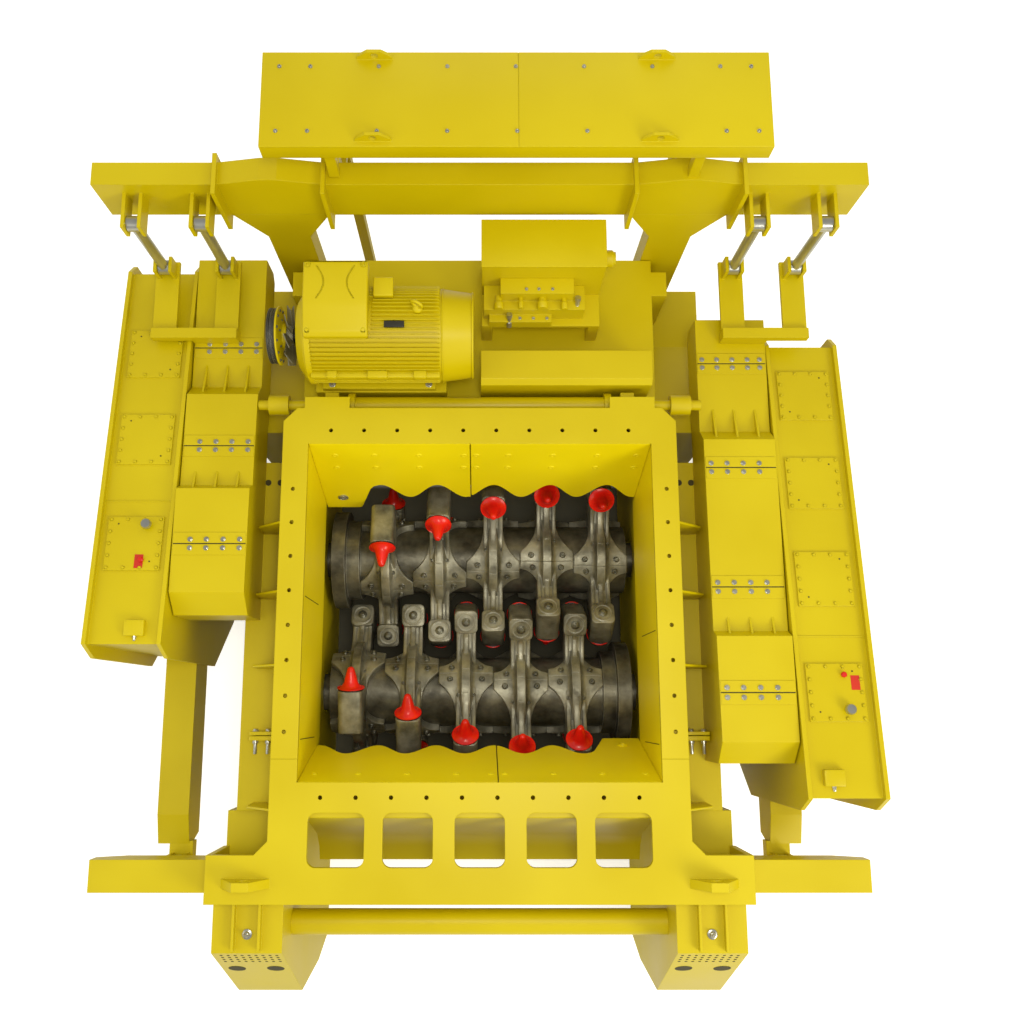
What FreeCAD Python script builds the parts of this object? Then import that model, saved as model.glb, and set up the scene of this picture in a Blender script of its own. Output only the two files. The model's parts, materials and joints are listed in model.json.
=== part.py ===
import FreeCAD
import Part
import math
import os
import Sketcher

# Double roll crusher. Two toothed rolls turn towards each other below an open feed flange.
# Millimetres. +X to the right, +Y to the rear, +Z up, ground at z = 0, origin under the middle.
# Heights are from the ground. Places along Y are counted from the middle of the feed opening.

os.makedirs("parts", exist_ok=True)
doc = FreeCAD.newDocument("double_roll_crusher")
Vector = FreeCAD.Vector
Rotation = FreeCAD.Rotation

SIZES = {
    "feed and housing": {
        "flange_top": 2450, "plate": 40, "feed_len": 2500, "feed_wid": 2390, "flange_side": 185,
        "flange_rear": 270, "seam_gap": 1, "seam_place": 1040, "flange_chamfer": 100, "liner": 40,
        "wall": 60, "wall_gap": 60, "wall_bottom": 300, "flange_bolt": 15, "flange_pitch": 241.5,
        "side_pitch": 245, "bolt_edge": 100, "corner_bolt": 85,
    },
    "front deck": {
        "deck_neck": 1670, "deck_front": 1985, "wing_half": 1845, "neck_fillet": 90,
        "window_near": 1395, "window_far": 1751, "window_round": 60, "window_mid": 487,
        "window_wide": 340, "window_outer": 385, "fascia_low": 1950, "lug_thick": 60,
        "lug_half": 165, "lug_height": 170, "lug_bore": 45, "front_lug_place": 1570,
        "front_lug_reach": 1880, "rear_lug_place": 1120,
    },
    "liners": {
        "liner_low": 1611, "liner_slope": 0.2625, "hollow_high": 1813, "hollow_half": 150,
        "liner_back": 60, "side_liner_low": 1500,
    },
    "rolls": {
        "roll_apart": 560, "roll_high": 950, "disc_pitch": 445, "disc_count": 5, "hub": 285,
        "groove": 338, "land": 415, "land_half": 118, "neck_half": 62, "holder_half": 95,
        "holder_mid": 630, "holder_len": 165, "holder_top": 728, "holder_low": 545,
        "arm_foot": 150, "arm_waist": 105, "waist_high": 470, "cap_len": 235, "cap_flare": 98,
        "cap_neck": 60, "cap_tip": 10, "segment_gap": 2, "stub": 150, "stub_room": 20,
        "bearing_wide": 560, "bearing_deep": 250, "bearing_fit": 0.05, "shaft_room": 5,
        "boss": 230, "boss_len": 22,
    },
    "feet": {
        "foot_in": 1355, "foot_out": 1840, "foot_top": 2200, "foot_shelf": 1900, "nose_top": 2344,
        "nose_mid": 2810, "nose_mid_high": 1290, "nose_low": 2770, "nose_low_high": 497,
        "toe": 2650, "rear_foot_top": 1500, "rear_foot_end": 2790, "tube_place": 2215,
        "tube": 90, "tube_high": 1800, "foot_rib": 18, "foot_rib_high": 60, "rib_apart": 90,
    },
    "sides": {
        "ledge_top": 1930, "ledge_out": 1770, "ledge_rear": 1180,
        "side_rib": 30, "rib_low": 350,
    },
    "guards": {
        "guard_in": 1660, "guard_out": 2190, "guard_gap": 5, "left_guard_front": 46,
        "left_guard_rear": 2738, "right_guard_front": 1075, "right_guard_rear": 2243,
        "guard_front_top": 2490, "guard_rear_top": 2215, "guard_bulge": 2330,
        "guard_bevel": 150, "guard_seat": 10, "web": 16,
    },
    "gear cases": {
        "case_in": 2200, "case_out": 2750, "left_case_front": 263, "left_case_rear": 2656,
        "right_case_front": 1295, "right_case_rear": 2048, "case_front_top": 2520,
        "case_rear_top": 2140, "case_low": 520, "case_nose_low": 900, "case_tail_low": 950,
        "case_tail": 420, "case_nose": 330, "cover_thick": 14, "cover_len": 400,
        "cover_wide": 400, "cover_edge": 90, "cheek": 30, "cheek_out": 90, "flange_lip": 45,
    },
    "torque arms and outriggers": {
        "arm_in": 2240, "arm_out": 2480, "arm_top": 1500, "arm_deep": 320, "arm_front": 1500,
        "outrigger_end": 2730, "outrigger_near": 1737, "outrigger_far": 1957,
        "outrigger_top": 2170, "outrigger_deep": 220, "strut": 38, "strut_pin": 25,
        "strut_eye": 60, "eye_thick": 80, "ear_thick": 25, "strut_place": 2300,
    },
    "rear beam and cabinet": {
        "beam_half": 2650, "beam_near": 2795, "beam_far": 2960, "beam_top": 3261,
        "beam_low": 2839, "post_mid": 1433, "post_half": 158, "saddle_half": 370,
        "saddle_thick": 30, "saddle_proud": 45, "saddle_peak": 60, "cabinet_mid": 230,
        "cabinet_half": 1620, "cabinet_near": 2752, "cabinet_far": 3416, "cabinet_low": 3340,
        "cabinet_top": 3800, "stand_post": 80, "tie_inset": 10, "stand_inset": 350, "stand_tie_low": 500, "rear_strut_place": 2600, "rear_strut_out": 2400,
        "rear_strut_in": 1930, "rear_strut_top": 3080, "rear_strut_low": 2385,
    },
    "drive": {
        "motor_place": 1944, "motor_high": 2650, "motor": 330, "motor_left": 1290,
        "motor_right": 50, "motor_foot": 355, "foot_wide": 300, "fan_cowl": 300, "cowl_len": 210,
        "box_left": 1215, "box_right": 770, "box_near": 1800, "box_far": 2330, "box_top": 3080,
        "ring": 215, "ring_len": 30, "fan": 165, "pulley": 150, "coupling_end": 1520,
        "motor_shaft": 48, "shaft_place": 1534, "shaft_high": 2290, "shaft": 62, "tube_len": 929,
        "joint_half": 1500, "joint_cross": 75, "shaft_block": 150, "cover_left": 10,
        "cover_right": 1270, "cover_near": 1635, "cover_far": 1890, "cover_top": 2500,
        "platform_top": 2100, "platform": 60, "unit_left": 16, "unit_right": 900,
        "unit_near": 2370, "unit_far": 2722, "unit_top": 2900, "unit_low": 2400,
        "valve_left": 31, "valve_right": 774, "valve_near": 2120, "valve_top": 2700,
        "base_plate": 50, "base_wide": 310, "seat_gap": 0.3,
    },
    "phases in degrees": {
        "rear_phase_1": 6, "rear_phase_2": 18, "rear_phase_3": 31, "rear_phase_4": 44,
        "rear_phase_5": 36, "front_phase_1": 12, "front_phase_2": 28, "front_phase_3": 42,
        "front_phase_4": 54, "front_phase_5": 48,
    },
}


class Size:
    """A length with its number and, as text, the formula of sheet cells that gives it."""

    def __init__(self, value, formula):
        self.value = float(value)
        self.formula = formula

    def __add__(self, other):
        other = as_size(other)
        return Size(self.value + other.value, f"({self.formula} + {other.formula})")

    def __sub__(self, other):
        other = as_size(other)
        return Size(self.value - other.value, f"({self.formula} - {other.formula})")

    def __mul__(self, other):
        other = as_size(other)
        return Size(self.value * other.value, f"({self.formula} * {other.formula})")

    def __truediv__(self, other):
        other = as_size(other)
        return Size(self.value / other.value, f"({self.formula} / {other.formula})")

    def __neg__(self):
        return Size(-self.value, f"(0 - {self.formula})")

    def __radd__(self, other):
        return as_size(other) + self

    def __rsub__(self, other):
        return as_size(other) - self

    def __rmul__(self, other):
        return as_size(other) * self


def as_size(number):
    return number if isinstance(number, Size) else Size(number, f"{float(number):.6f}")


class Values:
    """The driving sizes by name, each tied to its cell of the sheet."""


params = doc.addObject("Spreadsheet::Sheet", "Params")
S = Values()
row = 1
for group, sizes in SIZES.items():
    params.set(f"A{row}", group)
    row += 1
    for name, number in sizes.items():
        params.set(f"A{row}", name)
        params.set(f"B{row}", str(number))
        params.setAlias(f"B{row}", name)
        setattr(S, name, Size(number, f"Params.{name}"))
        row += 1
doc.recompute()

# The origin lies midway between the front toes and the back of the cabinet.
HOPPER_Y = (S.nose_mid - S.cabinet_far) / 2

TURN = {
    "x": Rotation(Vector(1, 1, 1), 120),
    "y": Rotation(Vector(1, 0, 0), 90),
    "z": Rotation(),
}
AXIS = {"x": Vector(1, 0, 0), "y": Vector(0, 1, 0), "z": Vector(0, 0, 1)}


def bind(item, prop, size):
    item.setExpression(prop, as_size(size).formula)


def put(item, x=0, y=0, z=0, shift=True):
    """Set an object's place from sizes. Y counts from the middle of the feed opening."""
    bind(item, "Placement.Base.x", x)
    bind(item, "Placement.Base.y", HOPPER_Y + y if shift else y)
    bind(item, "Placement.Base.z", z)


def box(name, x, y, z, shift=True):
    """A box from pairs of low and high places."""
    item = doc.addObject("Part::Box", name)
    bind(item, "Length", as_size(x[1]) - x[0])
    bind(item, "Width", as_size(y[1]) - y[0])
    bind(item, "Height", as_size(z[1]) - z[0])
    put(item, x[0], y[0], z[0], shift)
    return item


def cylinder(name, axis, radius, start, end, across, shift=True):
    """A round bar along an axis, from start to end, with its other two places in across."""
    item = doc.addObject("Part::Cylinder", name)
    bind(item, "Radius", radius)
    bind(item, "Height", as_size(end) - start)
    if axis == "x":
        item.Placement = FreeCAD.Placement(Vector(), Rotation(Vector(0, 0, 1), Vector(1, 0, 0)))
        put(item, start, across[0], across[1], shift)
    elif axis == "y":
        item.Placement = FreeCAD.Placement(Vector(), Rotation(Vector(0, 0, 1), Vector(0, 1, 0)))
        put(item, across[0], start, across[1], shift)
    else:
        put(item, across[0], across[1], start, shift)
    return item


def cone(name, axis, radius_start, radius_end, start, end, across, shift=True):
    item = doc.addObject("Part::Cone", name)
    bind(item, "Radius1", radius_start)
    bind(item, "Radius2", radius_end)
    bind(item, "Height", as_size(end) - start)
    item.Placement = FreeCAD.Placement(Vector(), Rotation(Vector(0, 0, 1), AXIS[axis]))
    if axis == "x":
        put(item, start, across[0], across[1], shift)
    elif axis == "y":
        put(item, across[0], start, across[1], shift)
    else:
        put(item, across[0], across[1], start, shift)
    return item


def outline(name, points, turn):
    """A sketch of straight lines through points, each point tied to the sheet."""
    sketch = doc.addObject("Sketcher::SketchObject", name)
    sketch.Placement = FreeCAD.Placement(Vector(), turn)
    points = [(as_size(u), as_size(v)) for u, v in points]
    flat = [Vector(u.value, v.value, 0) for u, v in points]
    for place, start in enumerate(flat):
        sketch.addGeometry(Part.LineSegment(start, flat[(place + 1) % len(flat)]), False)
    for place in range(len(flat)):
        following = (place + 1) % len(flat)
        sketch.addConstraint(Sketcher.Constraint("Coincident", place, 2, following, 1))
    for place, (u, v) in enumerate(points):
        for kind, size in (("DistanceX", u), ("DistanceY", v)):
            number = sketch.addConstraint(Sketcher.Constraint(kind, -1, 1, place, 1, size.value))
            sketch.setExpression(f"Constraints[{number}]", size.formula)
    return sketch


def prism(name, axis, points, low, high, shift=True):
    """A profile pushed along an axis. Points are (y, z), (x, z) or (x, y)."""
    sketch = outline(name + "_profile", points, TURN[axis])
    item = doc.addObject("Part::Extrusion", name)
    item.Base = sketch
    item.DirMode = "Normal"
    item.Solid = True
    bind(item, "LengthFwd", as_size(high) - low)
    if axis == "x":
        put(item, low, 0, 0, shift)
    elif axis == "y":
        put(item, 0, high, 0, shift)
    else:
        put(item, 0, 0, low, shift)
    return item


def fuse(name, *items):
    item = doc.addObject("Part::MultiFuse", name)
    item.Shapes = list(items)
    return item


def common(name, *items):
    item = doc.addObject("Part::MultiCommon", name)
    item.Shapes = list(items)
    return item


def cut(name, base, *tools):
    item = doc.addObject("Part::Cut", name)
    item.Base = base
    item.Tool = tools[0] if len(tools) == 1 else fuse(name + "_tools", *tools)
    return item


def mirror(name, source, normal):
    """The same piece on the other side of the plane through the origin with this normal."""
    item = doc.addObject("Part::Mirroring", name)
    item.Source = source
    item.Normal = normal
    item.Base = Vector(0, 0, 0)
    return item


def round_edges(name, base, edges, radius):
    item = doc.addObject("Part::Fillet", name)
    item.Base = base
    item.Edges = [(edge, radius.value, radius.value) for edge in edges]
    return item


NODES = []


def node(name, item):
    """Name a finished sub-part."""
    item.Label = name
    NODES.append(item)
    return item


def bundle(name, items):
    """Several solids of one node that don't touch each other."""
    item = doc.addObject("Part::Compound", name + "_set")
    item.Links = list(items)
    return node(name, item)


SIDES = (("left", -1), ("right", 1))
BOX_UPRIGHT_EDGES = (1, 3, 5, 7)


def span(side, near, far):
    """Places near and far from the middle plane, low first, on the side with sign side."""
    return (near, far) if side > 0 else (-far, -near)


FLANGE_X = S.feed_len / 2 + S.flange_side
FLANGE_LOW = S.flange_top - S.plate
FEED_Y = S.feed_wid / 2
WALL_IN = S.feed_len / 2 + S.liner
WALL_OUT = WALL_IN + S.wall
TIP = S.holder_top + 22
WALL_Y_IN = S.roll_apart + TIP + S.wall_gap
WALL_Y_OUT = WALL_Y_IN + S.wall
REAR_GUARD_LOW = S.foot_shelf + S.guard_seat


def feed_flange():
    rear = FEED_Y + S.flange_rear
    bevel = S.flange_chamfer
    front = -S.seam_place + S.seam_gap
    half = FLANGE_X
    opening = S.feed_len / 2
    ring = prism("flange_ring", "z", [
        (-half, front), (-opening, front), (-opening, FEED_Y), (opening, FEED_Y),
        (opening, front), (half, front), (half, rear - bevel), (half - bevel, rear),
        (-half + bevel, rear), (-half, rear - bevel),
    ], FLANGE_LOW, S.flange_top)
    holes = []
    row_y = FEED_Y + S.bolt_edge
    for place in range(10):
        x = S.flange_pitch * (place - 4.5)
        holes.append(cylinder("flange_hole", "z", S.flange_bolt, FLANGE_LOW, S.flange_top,
                              (x, row_y)))
    for _, side in SIDES:
        x = (opening + S.bolt_edge) * side
        for place in range(8):
            y = S.side_pitch * (place - 3.5)
            holes.append(cylinder("side_hole", "z", S.flange_bolt, FLANGE_LOW, S.flange_top,
                                  (x, y)))
    plate = cut("flange_plate", ring, *holes)
    pieces = [plate]
    for _, side in SIDES:
        mid = S.rear_lug_place * side
        pieces.append(box("rear_lug", (mid - S.lug_half, mid + S.lug_half),
                          (rear, rear + S.lug_height / 2), (FLANGE_LOW, S.flange_top)))
    node("feed_flange", fuse("flange_body", *pieces))


def window_spans():
    """The five windows of the front deck, each as its low and high X."""
    spans = []
    for place in range(5):
        mid = S.window_mid * (place - 2)
        half = (S.window_outer if place in (0, 4) else S.window_wide) / 2
        spans.append((mid - half, mid + half))
    return spans


def front_deck():
    half = FLANGE_X
    opening = S.feed_len / 2
    deck = prism("deck_plate", "z", [
        (-half, -S.seam_place), (-opening, -S.seam_place), (-opening, -FEED_Y),
        (opening, -FEED_Y), (opening, -S.seam_place), (half, -S.seam_place),
        (half, -S.deck_neck + S.neck_fillet), (half + S.neck_fillet, -S.deck_neck),
        (S.wing_half, -S.deck_neck), (S.wing_half, -S.deck_front),
        (-S.wing_half, -S.deck_front), (-S.wing_half, -S.deck_neck),
        (-half - S.neck_fillet, -S.deck_neck), (-half, -S.deck_neck + S.neck_fillet),
    ], FLANGE_LOW, S.flange_top)
    tools = []
    for low, high in window_spans():
        block = box("window", (low, high), (-S.window_far, -S.window_near),
                    (FLANGE_LOW - 1, S.flange_top + 1))
        tools.append(round_edges("window_round", block, BOX_UPRIGHT_EDGES, S.window_round))
    for place in range(10):
        x = S.flange_pitch * (place - 4.5)
        tools.append(cylinder("deck_hole", "z", S.flange_bolt, FLANGE_LOW, S.flange_top,
                              (x, -FEED_Y - S.bolt_edge)))
    plate = cut("deck_cut", deck, *tools)
    fascia = box("deck_fascia", (-S.wing_half, S.wing_half),
                 (-S.deck_front, -S.deck_front + S.plate), (S.fascia_low, FLANGE_LOW))
    pieces = [plate, fascia]
    for _, side in SIDES:
        pieces.append(box("wing_side", span(side, S.wing_half - S.plate, S.wing_half),
                          (-S.deck_front, -S.deck_neck), (S.fascia_low, FLANGE_LOW)))
        mid = S.front_lug_place * side
        ear = prism("front_lug_plate", "y", [
            (mid - S.lug_half, S.flange_top), (mid + S.lug_half, S.flange_top),
            (mid + S.lug_half / 3, S.flange_top + S.lug_height),
            (mid - S.lug_half / 3, S.flange_top + S.lug_height),
        ], -S.front_lug_reach, -S.front_lug_reach + S.lug_thick)
        bore = cylinder("front_lug_bore", "y", S.lug_bore, -S.front_lug_reach,
                        -S.front_lug_reach + S.lug_thick,
                        (mid, S.flange_top + S.lug_height * 0.55))
        pieces.append(cut("front_lug", ear, bore))
    node("front_deck", fuse("deck_body", *pieces))


def side_walls():
    """Side plates of the housing, each with its ledge, transverse ribs and shaft holes."""
    for name, side in SIDES:
        wall = box(name + "_wall_plate", span(side, WALL_IN, WALL_OUT),
                   (-WALL_Y_OUT, WALL_Y_OUT), (S.wall_bottom, FLANGE_LOW))
        ledge = box(name + "_ledge", span(side, WALL_OUT, S.ledge_out),
                    (-WALL_Y_OUT, S.ledge_rear),
                    (S.ledge_top - S.plate, S.ledge_top))
        pieces = [wall, ledge]
        for y in (-1330, -880, -350, 150, 620, 1060):
            low, high = span(side, WALL_OUT, FLANGE_X)
            pieces.append(box("side_rib", (low, high), (y, y + S.side_rib),
                              (S.ledge_top, FLANGE_LOW)))
            low, high = span(side, WALL_OUT, S.ledge_out - 60)
            pieces.append(box("lower_rib", (low, high), (y, y + S.side_rib),
                              (S.ledge_top - S.rib_low, S.ledge_top - S.plate)))
        holes = []
        for y in (-S.roll_apart, S.roll_apart):
            low, high = span(side, WALL_IN, WALL_OUT)
            holes.append(cylinder("shaft_hole", "x", S.stub + S.stub_room, low, high,
                                  (y, S.roll_high)))
        node(name + "_side_wall", cut(name + "_wall", fuse(name + "_wall_body", *pieces), *holes))


def end_walls():
    for name, end in (("front", -1), ("rear", 1)):
        low, high = span(end, WALL_Y_IN, WALL_Y_OUT)
        plate = box(name + "_end_plate", (-WALL_IN, WALL_IN), (low, high),
                    (S.wall_bottom, FLANGE_LOW))
        node(name + "_wall", plate)


def liners():
    """Sloping front and rear liners with hollows over the teeth, and upright side liners."""
    drop = S.flange_top - S.liner_low
    shift = drop * S.liner_slope
    for name, end, offset in (("front", -1, -0.25), ("rear", 1, 0.25)):
        profile = [
            (FEED_Y * end, FLANGE_LOW - S.seam_gap), (FEED_Y * end, S.flange_top - 6),
            ((FEED_Y - S.liner * 0.2) * end, S.flange_top - 6),
            ((FEED_Y - shift) * end, S.liner_low),
            ((FEED_Y - shift + S.liner) * end, S.liner_low),
        ]
        low = -S.feed_len / 2 + S.seam_gap
        slab = prism(name + "_liner_plate", "x", profile, low, S.feed_len / 2 - S.seam_gap)
        tools = []
        for place in range(5):
            x = S.disc_pitch * (place - 2 + offset)
            low_y, high_y = span(end, FEED_Y - shift - S.liner, FEED_Y + S.liner)
            hollow = doc.addObject("Part::Cylinder", "hollow")
            bind(hollow, "Radius", S.hollow_half)
            bind(hollow, "Height", high_y - low_y)
            hollow.Placement = FreeCAD.Placement(Vector(), Rotation(Vector(0, 0, 1), Vector(0, 1, 0)))
            put(hollow, x, low_y, S.hollow_high - S.hollow_half)
            tools.append(hollow)
            tools.append(box("hollow_foot", (x - S.hollow_half, x + S.hollow_half),
                             (low_y, high_y), (S.liner_low - 1, S.hollow_high - S.hollow_half)))
        node(name + "_liner", cut(name + "_liner_cut", slab, *tools))
    for name, side in SIDES:
        low, high = span(side, S.feed_len / 2, WALL_IN - S.seat_gap)
        reach = FEED_Y - S.seam_gap
        top = FLANGE_LOW - S.seam_gap
        bottom = FEED_Y - (FLANGE_LOW - S.side_liner_low) * S.liner_slope
        panel = prism(name + "_liner_panel", "x", [
            (-reach, top), (-bottom, S.side_liner_low), (bottom, S.side_liner_low), (reach, top),
        ], low, high)
        node(name + "_liner", panel)


def feet():
    """Front feet with sloping noses, and plainer rear feet under the drive platform."""
    for name, side in SIDES:
        low, high = span(side, S.foot_in, S.foot_out)
        front = prism(name + "_front_block", "x", [
            (-WALL_Y_OUT, 0), (-WALL_Y_OUT, S.foot_shelf), (-S.deck_front, S.foot_shelf),
            (-S.deck_front, S.foot_top), (-S.nose_top, S.foot_top),
            (-S.nose_mid, S.nose_mid_high), (-S.nose_low, S.nose_low_high), (-S.toe, 0),
        ], low, high)
        pieces = [front]
        middle = (low + high) / 2
        for rib in (-1, 1):
            x = middle + S.rib_apart * rib
            pieces.append(box("nose_rib", (x - S.foot_rib / 2, x + S.foot_rib / 2),
                              (-S.nose_top + 20, -S.deck_front), (S.foot_top,
                                                                  S.foot_top + S.foot_rib_high)))
        node(name + "_front_foot", fuse(name + "_front_foot_body", *pieces))
        rear = prism(name + "_rear_block", "x", [
            (WALL_Y_OUT, 0), (WALL_Y_OUT, S.foot_shelf), (WALL_Y_OUT + 250, S.foot_shelf),
            (S.rear_foot_end - 500, S.rear_foot_top), (S.rear_foot_end, S.rear_foot_top),
            (S.rear_foot_end, 0),
        ], low, high)
        node(name + "_rear_foot", rear)
    node("front_cross_tube", cylinder("cross_tube", "x", S.tube, -S.foot_in, S.foot_in,
                                      (-S.tube_place, S.tube_high)))


def bearings():
    """A bearing block on each side wall for both shafts."""
    half = S.bearing_wide / 2
    rows = []
    for _, side in SIDES:
        pair = []
        low, high = span(side, WALL_OUT, WALL_OUT + S.bearing_deep)
        for y in (-S.roll_apart, S.roll_apart):
            block = prism("bearing_block", "x", [
                (y - half, S.roll_high - half), (y - half, S.roll_high + half * 0.6),
                (y - half * 0.5, S.roll_high + half), (y + half * 0.5, S.roll_high + half),
                (y + half, S.roll_high + half * 0.6), (y + half, S.roll_high - half),
            ], low, high)
            hole = cylinder("bearing_bore", "x", S.stub + S.bearing_fit, low, high,
                            (y, S.roll_high))
            pair.append(cut("bearing", block, hole))
        low_y = -S.roll_apart + half
        tie = box("bearing_tie", (low, high), (low_y, S.roll_apart - half),
                  (S.roll_high - half, S.roll_high))
        rows.append(fuse("bearing_row", *pair, tie))
    bundle("shaft_bearings", rows)


# The rolls: a hub on its shaft, toothed segments bolted round it, and a red cap on each pick.

def tooth_segment():
    """A quarter of a toothed disc in its own frame: axis along X, its arm towards +Z."""
    far = 1000
    gap = S.segment_gap / 2
    pitch_half = S.disc_pitch / 2 - gap
    wedge = prism("segment_wedge", "x", [
        (0, gap * 1.5), (far, far + gap.value * 1.5), (-far, far + gap.value * 1.5),
    ], -pitch_half, pitch_half, shift=False)
    rim = cylinder("segment_rim", "x", S.groove, -pitch_half, pitch_half, (0, 0), shift=False)
    land = cylinder("segment_land", "x", S.land, -S.land_half, S.land_half, (0, 0), shift=False)
    bore = cylinder("segment_bore", "x", S.hub, -pitch_half, pitch_half, (0, 0), shift=False)
    shoe = cut("segment_shoe", common("segment_sector", fuse("segment_round", rim, land), wedge),
               bore)
    claw = prism("arm_side", "x", [
        (-S.arm_foot, S.groove), (-S.arm_waist, S.waist_high), (-S.holder_len, S.holder_low),
        (-S.holder_len, S.holder_top - 8), (S.holder_len * 0.5, S.holder_top),
        (S.holder_len, S.holder_top - 60), (S.holder_len, S.holder_low + 20),
        (S.arm_waist, S.waist_high), (S.arm_foot, S.groove),
    ], -S.land_half, S.land_half, shift=False)
    waist = prism("arm_front", "y", [
        (-S.land_half, S.groove), (-S.land_half, S.land - 10), (-S.neck_half, S.waist_high),
        (-S.holder_half, S.holder_low), (-S.holder_half, S.holder_top - 40),
        (-S.holder_half + 40, S.holder_top), (S.holder_half - 40, S.holder_top),
        (S.holder_half, S.holder_top - 40), (S.holder_half, S.holder_low),
        (S.neck_half, S.waist_high), (S.land_half, S.land - 10), (S.land_half, S.groove),
    ], -300, 300, shift=False)
    return fuse("tooth_segment", shoe, common("tooth_arm", claw, waist))


def pick_cap():
    """The bell-shaped cap on the front of a pick, pointing towards -Y in the segment's frame."""
    start = -S.holder_len - S.cap_len
    bell = cone("cap_bell", "y", S.cap_neck, S.cap_flare, -S.holder_len - S.cap_len * 0.3,
                -S.holder_len - S.seat_gap, (0, S.holder_mid), shift=False)
    point = cone("cap_point", "y", S.cap_tip, S.cap_neck, start,
                 -S.holder_len - S.cap_len * 0.3, (0, S.holder_mid), shift=False)
    return fuse("pick_cap", point, bell)


def roll_hub(name, end):
    """A turned shaft: stubs, plain end disc towards the side given by end, and the core."""
    half = S.disc_pitch * (S.disc_count + 0.5) / 2
    reach = S.case_in - S.shaft_room
    short = WALL_OUT + S.bearing_deep
    groove_end = half - S.disc_pitch / 2
    land_end = half - (S.disc_pitch / 2 - S.holder_half - S.segment_gap * 8)
    left, right = (reach, short) if end < 0 else (short, reach)
    profile = [(-left, 0), (-left, S.stub), (-half, S.stub)]
    if end < 0:
        profile += [(-half, S.land), (-land_end, S.land), (-land_end, S.groove),
                    (-groove_end, S.groove), (-groove_end, S.hub), (half, S.hub)]
    else:
        profile += [(-half, S.hub), (groove_end, S.hub), (groove_end, S.groove),
                    (land_end, S.groove), (land_end, S.land), (half, S.land)]
    profile += [(half, S.stub), (right, S.stub), (right, 0)]
    body = doc.addObject("PartDesign::Body", name)
    sketch = body.newObject("Sketcher::SketchObject", name + "_profile")
    plane = [item for item in body.Origin.OriginFeatures if item.Role == "XY_Plane"][0]
    sketch.AttachmentSupport = [(plane, "")]
    sketch.MapMode = "FlatFace"
    flat = [Vector(as_size(u).value, as_size(v).value, 0) for u, v in profile]
    for place, start in enumerate(flat):
        sketch.addGeometry(Part.LineSegment(start, flat[(place + 1) % len(flat)]), False)
    for place in range(len(flat)):
        following = (place + 1) % len(flat)
        sketch.addConstraint(Sketcher.Constraint("Coincident", place, 2, following, 1))
    for place, (u, v) in enumerate(profile):
        for kind, size in (("DistanceX", as_size(u)), ("DistanceY", as_size(v))):
            number = sketch.addConstraint(Sketcher.Constraint(kind, -1, 1, place, 1, size.value))
            sketch.setExpression(f"Constraints[{number}]", size.formula)
    turned = body.newObject("PartDesign::Revolution", name + "_turned")
    turned.Profile = sketch
    turned.ReferenceAxis = (sketch, ["H_Axis"])
    turned.Angle = 360
    put(body, 0, S.roll_apart * (1 if name.startswith("rear") else -1), S.roll_high)
    return body


def placed(shape, x, angle, y, flip):
    """A copy of a segment's shape, turned about the roll axis and set on a roll."""
    copy = shape.copy()
    if flip:
        copy.rotate(Vector(), Vector(0, 0, 1), 180)
    copy.rotate(Vector(), Vector(1, 0, 0), angle)
    copy.translate(Vector(x, HOPPER_Y.value + y, S.roll_high.value))
    return copy


def rolls():
    segment = tooth_segment()
    cap = pick_cap()
    doc.recompute()
    for name, end in (("rear", -1), ("front", 1)):
        node(name + "_roll_hub", roll_hub(name + "_roll_hub", end))
        y = -end * S.roll_apart.value
        discs, caps = [], []
        for place in range(int(S.disc_count.value)):
            x = (place - 2 - end * 0.25) * S.disc_pitch.value
            phase = getattr(S, f"{name}_phase_{place + 1}").value
            for quarter in range(4):
                # Rear picks lean forward from straight up, front picks lean to the rear.
                lean = (90 - phase) * (1 if name == "rear" else -1)
                angle = lean + quarter * 90
                discs.append(placed(segment.Shape, x, angle, y, name == "front"))
                caps.append(placed(cap.Shape, x, angle, y, name == "front"))
        for word, shapes in (("teeth", discs), ("caps", caps)):
            item = doc.addObject("Part::Feature", f"{name}_{word}_set")
            item.Shape = Part.makeCompound(shapes)
            node(f"{name}_roll_{word}", item)


def guard_profile(front, rear, join, bulge_end):
    top, back = S.guard_front_top, S.guard_rear_top
    return [
        (-front, S.ledge_top), (-front, top - S.guard_bevel), (-front + S.guard_bevel, top),
        (join, top - 30), (join + 40, S.guard_bulge + 40), (bulge_end - 90, S.guard_bulge),
        (bulge_end, back), (rear, back), (rear, REAR_GUARD_LOW + 60),
        (rear - 60, REAR_GUARD_LOW), (S.ledge_rear + 320, REAR_GUARD_LOW),
        (S.ledge_rear + 320, S.ledge_top),
    ]


def belt_guards():
    """Stepped steel covers over the belt drives, with cross webs in their hollows."""
    plans = (("left", -1, S.left_guard_front, S.left_guard_rear, 860, 1700),
             ("right", 1, S.right_guard_front, S.right_guard_rear, -200, 1350))
    for name, side, front, rear, join, bulge_end in plans:
        low, high = span(side, S.guard_in, S.guard_out)
        body = prism(name + "_guard_body", "x", guard_profile(front, rear, join, bulge_end),
                     low, high)
        pieces = [body]
        for share in (0.2, 0.5, 0.8):
            x = low + (high - low) * share
            pieces.append(prism("guard_web", "x", [
                (bulge_end - 100, S.guard_bulge - 20), (bulge_end + 190, S.guard_rear_top - 5),
                (bulge_end, S.guard_rear_top - 5),
            ], x - S.web / 2, x + S.web / 2))
            pieces.append(prism("guard_web", "x", [
                (join - 10, S.guard_front_top - 60), (join + 230, S.guard_bulge),
                (join + 20, S.guard_bulge),
            ], x - S.web / 2, x + S.web / 2))
        node(name + "_belt_guard", fuse(name + "_guard", *pieces))


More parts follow.
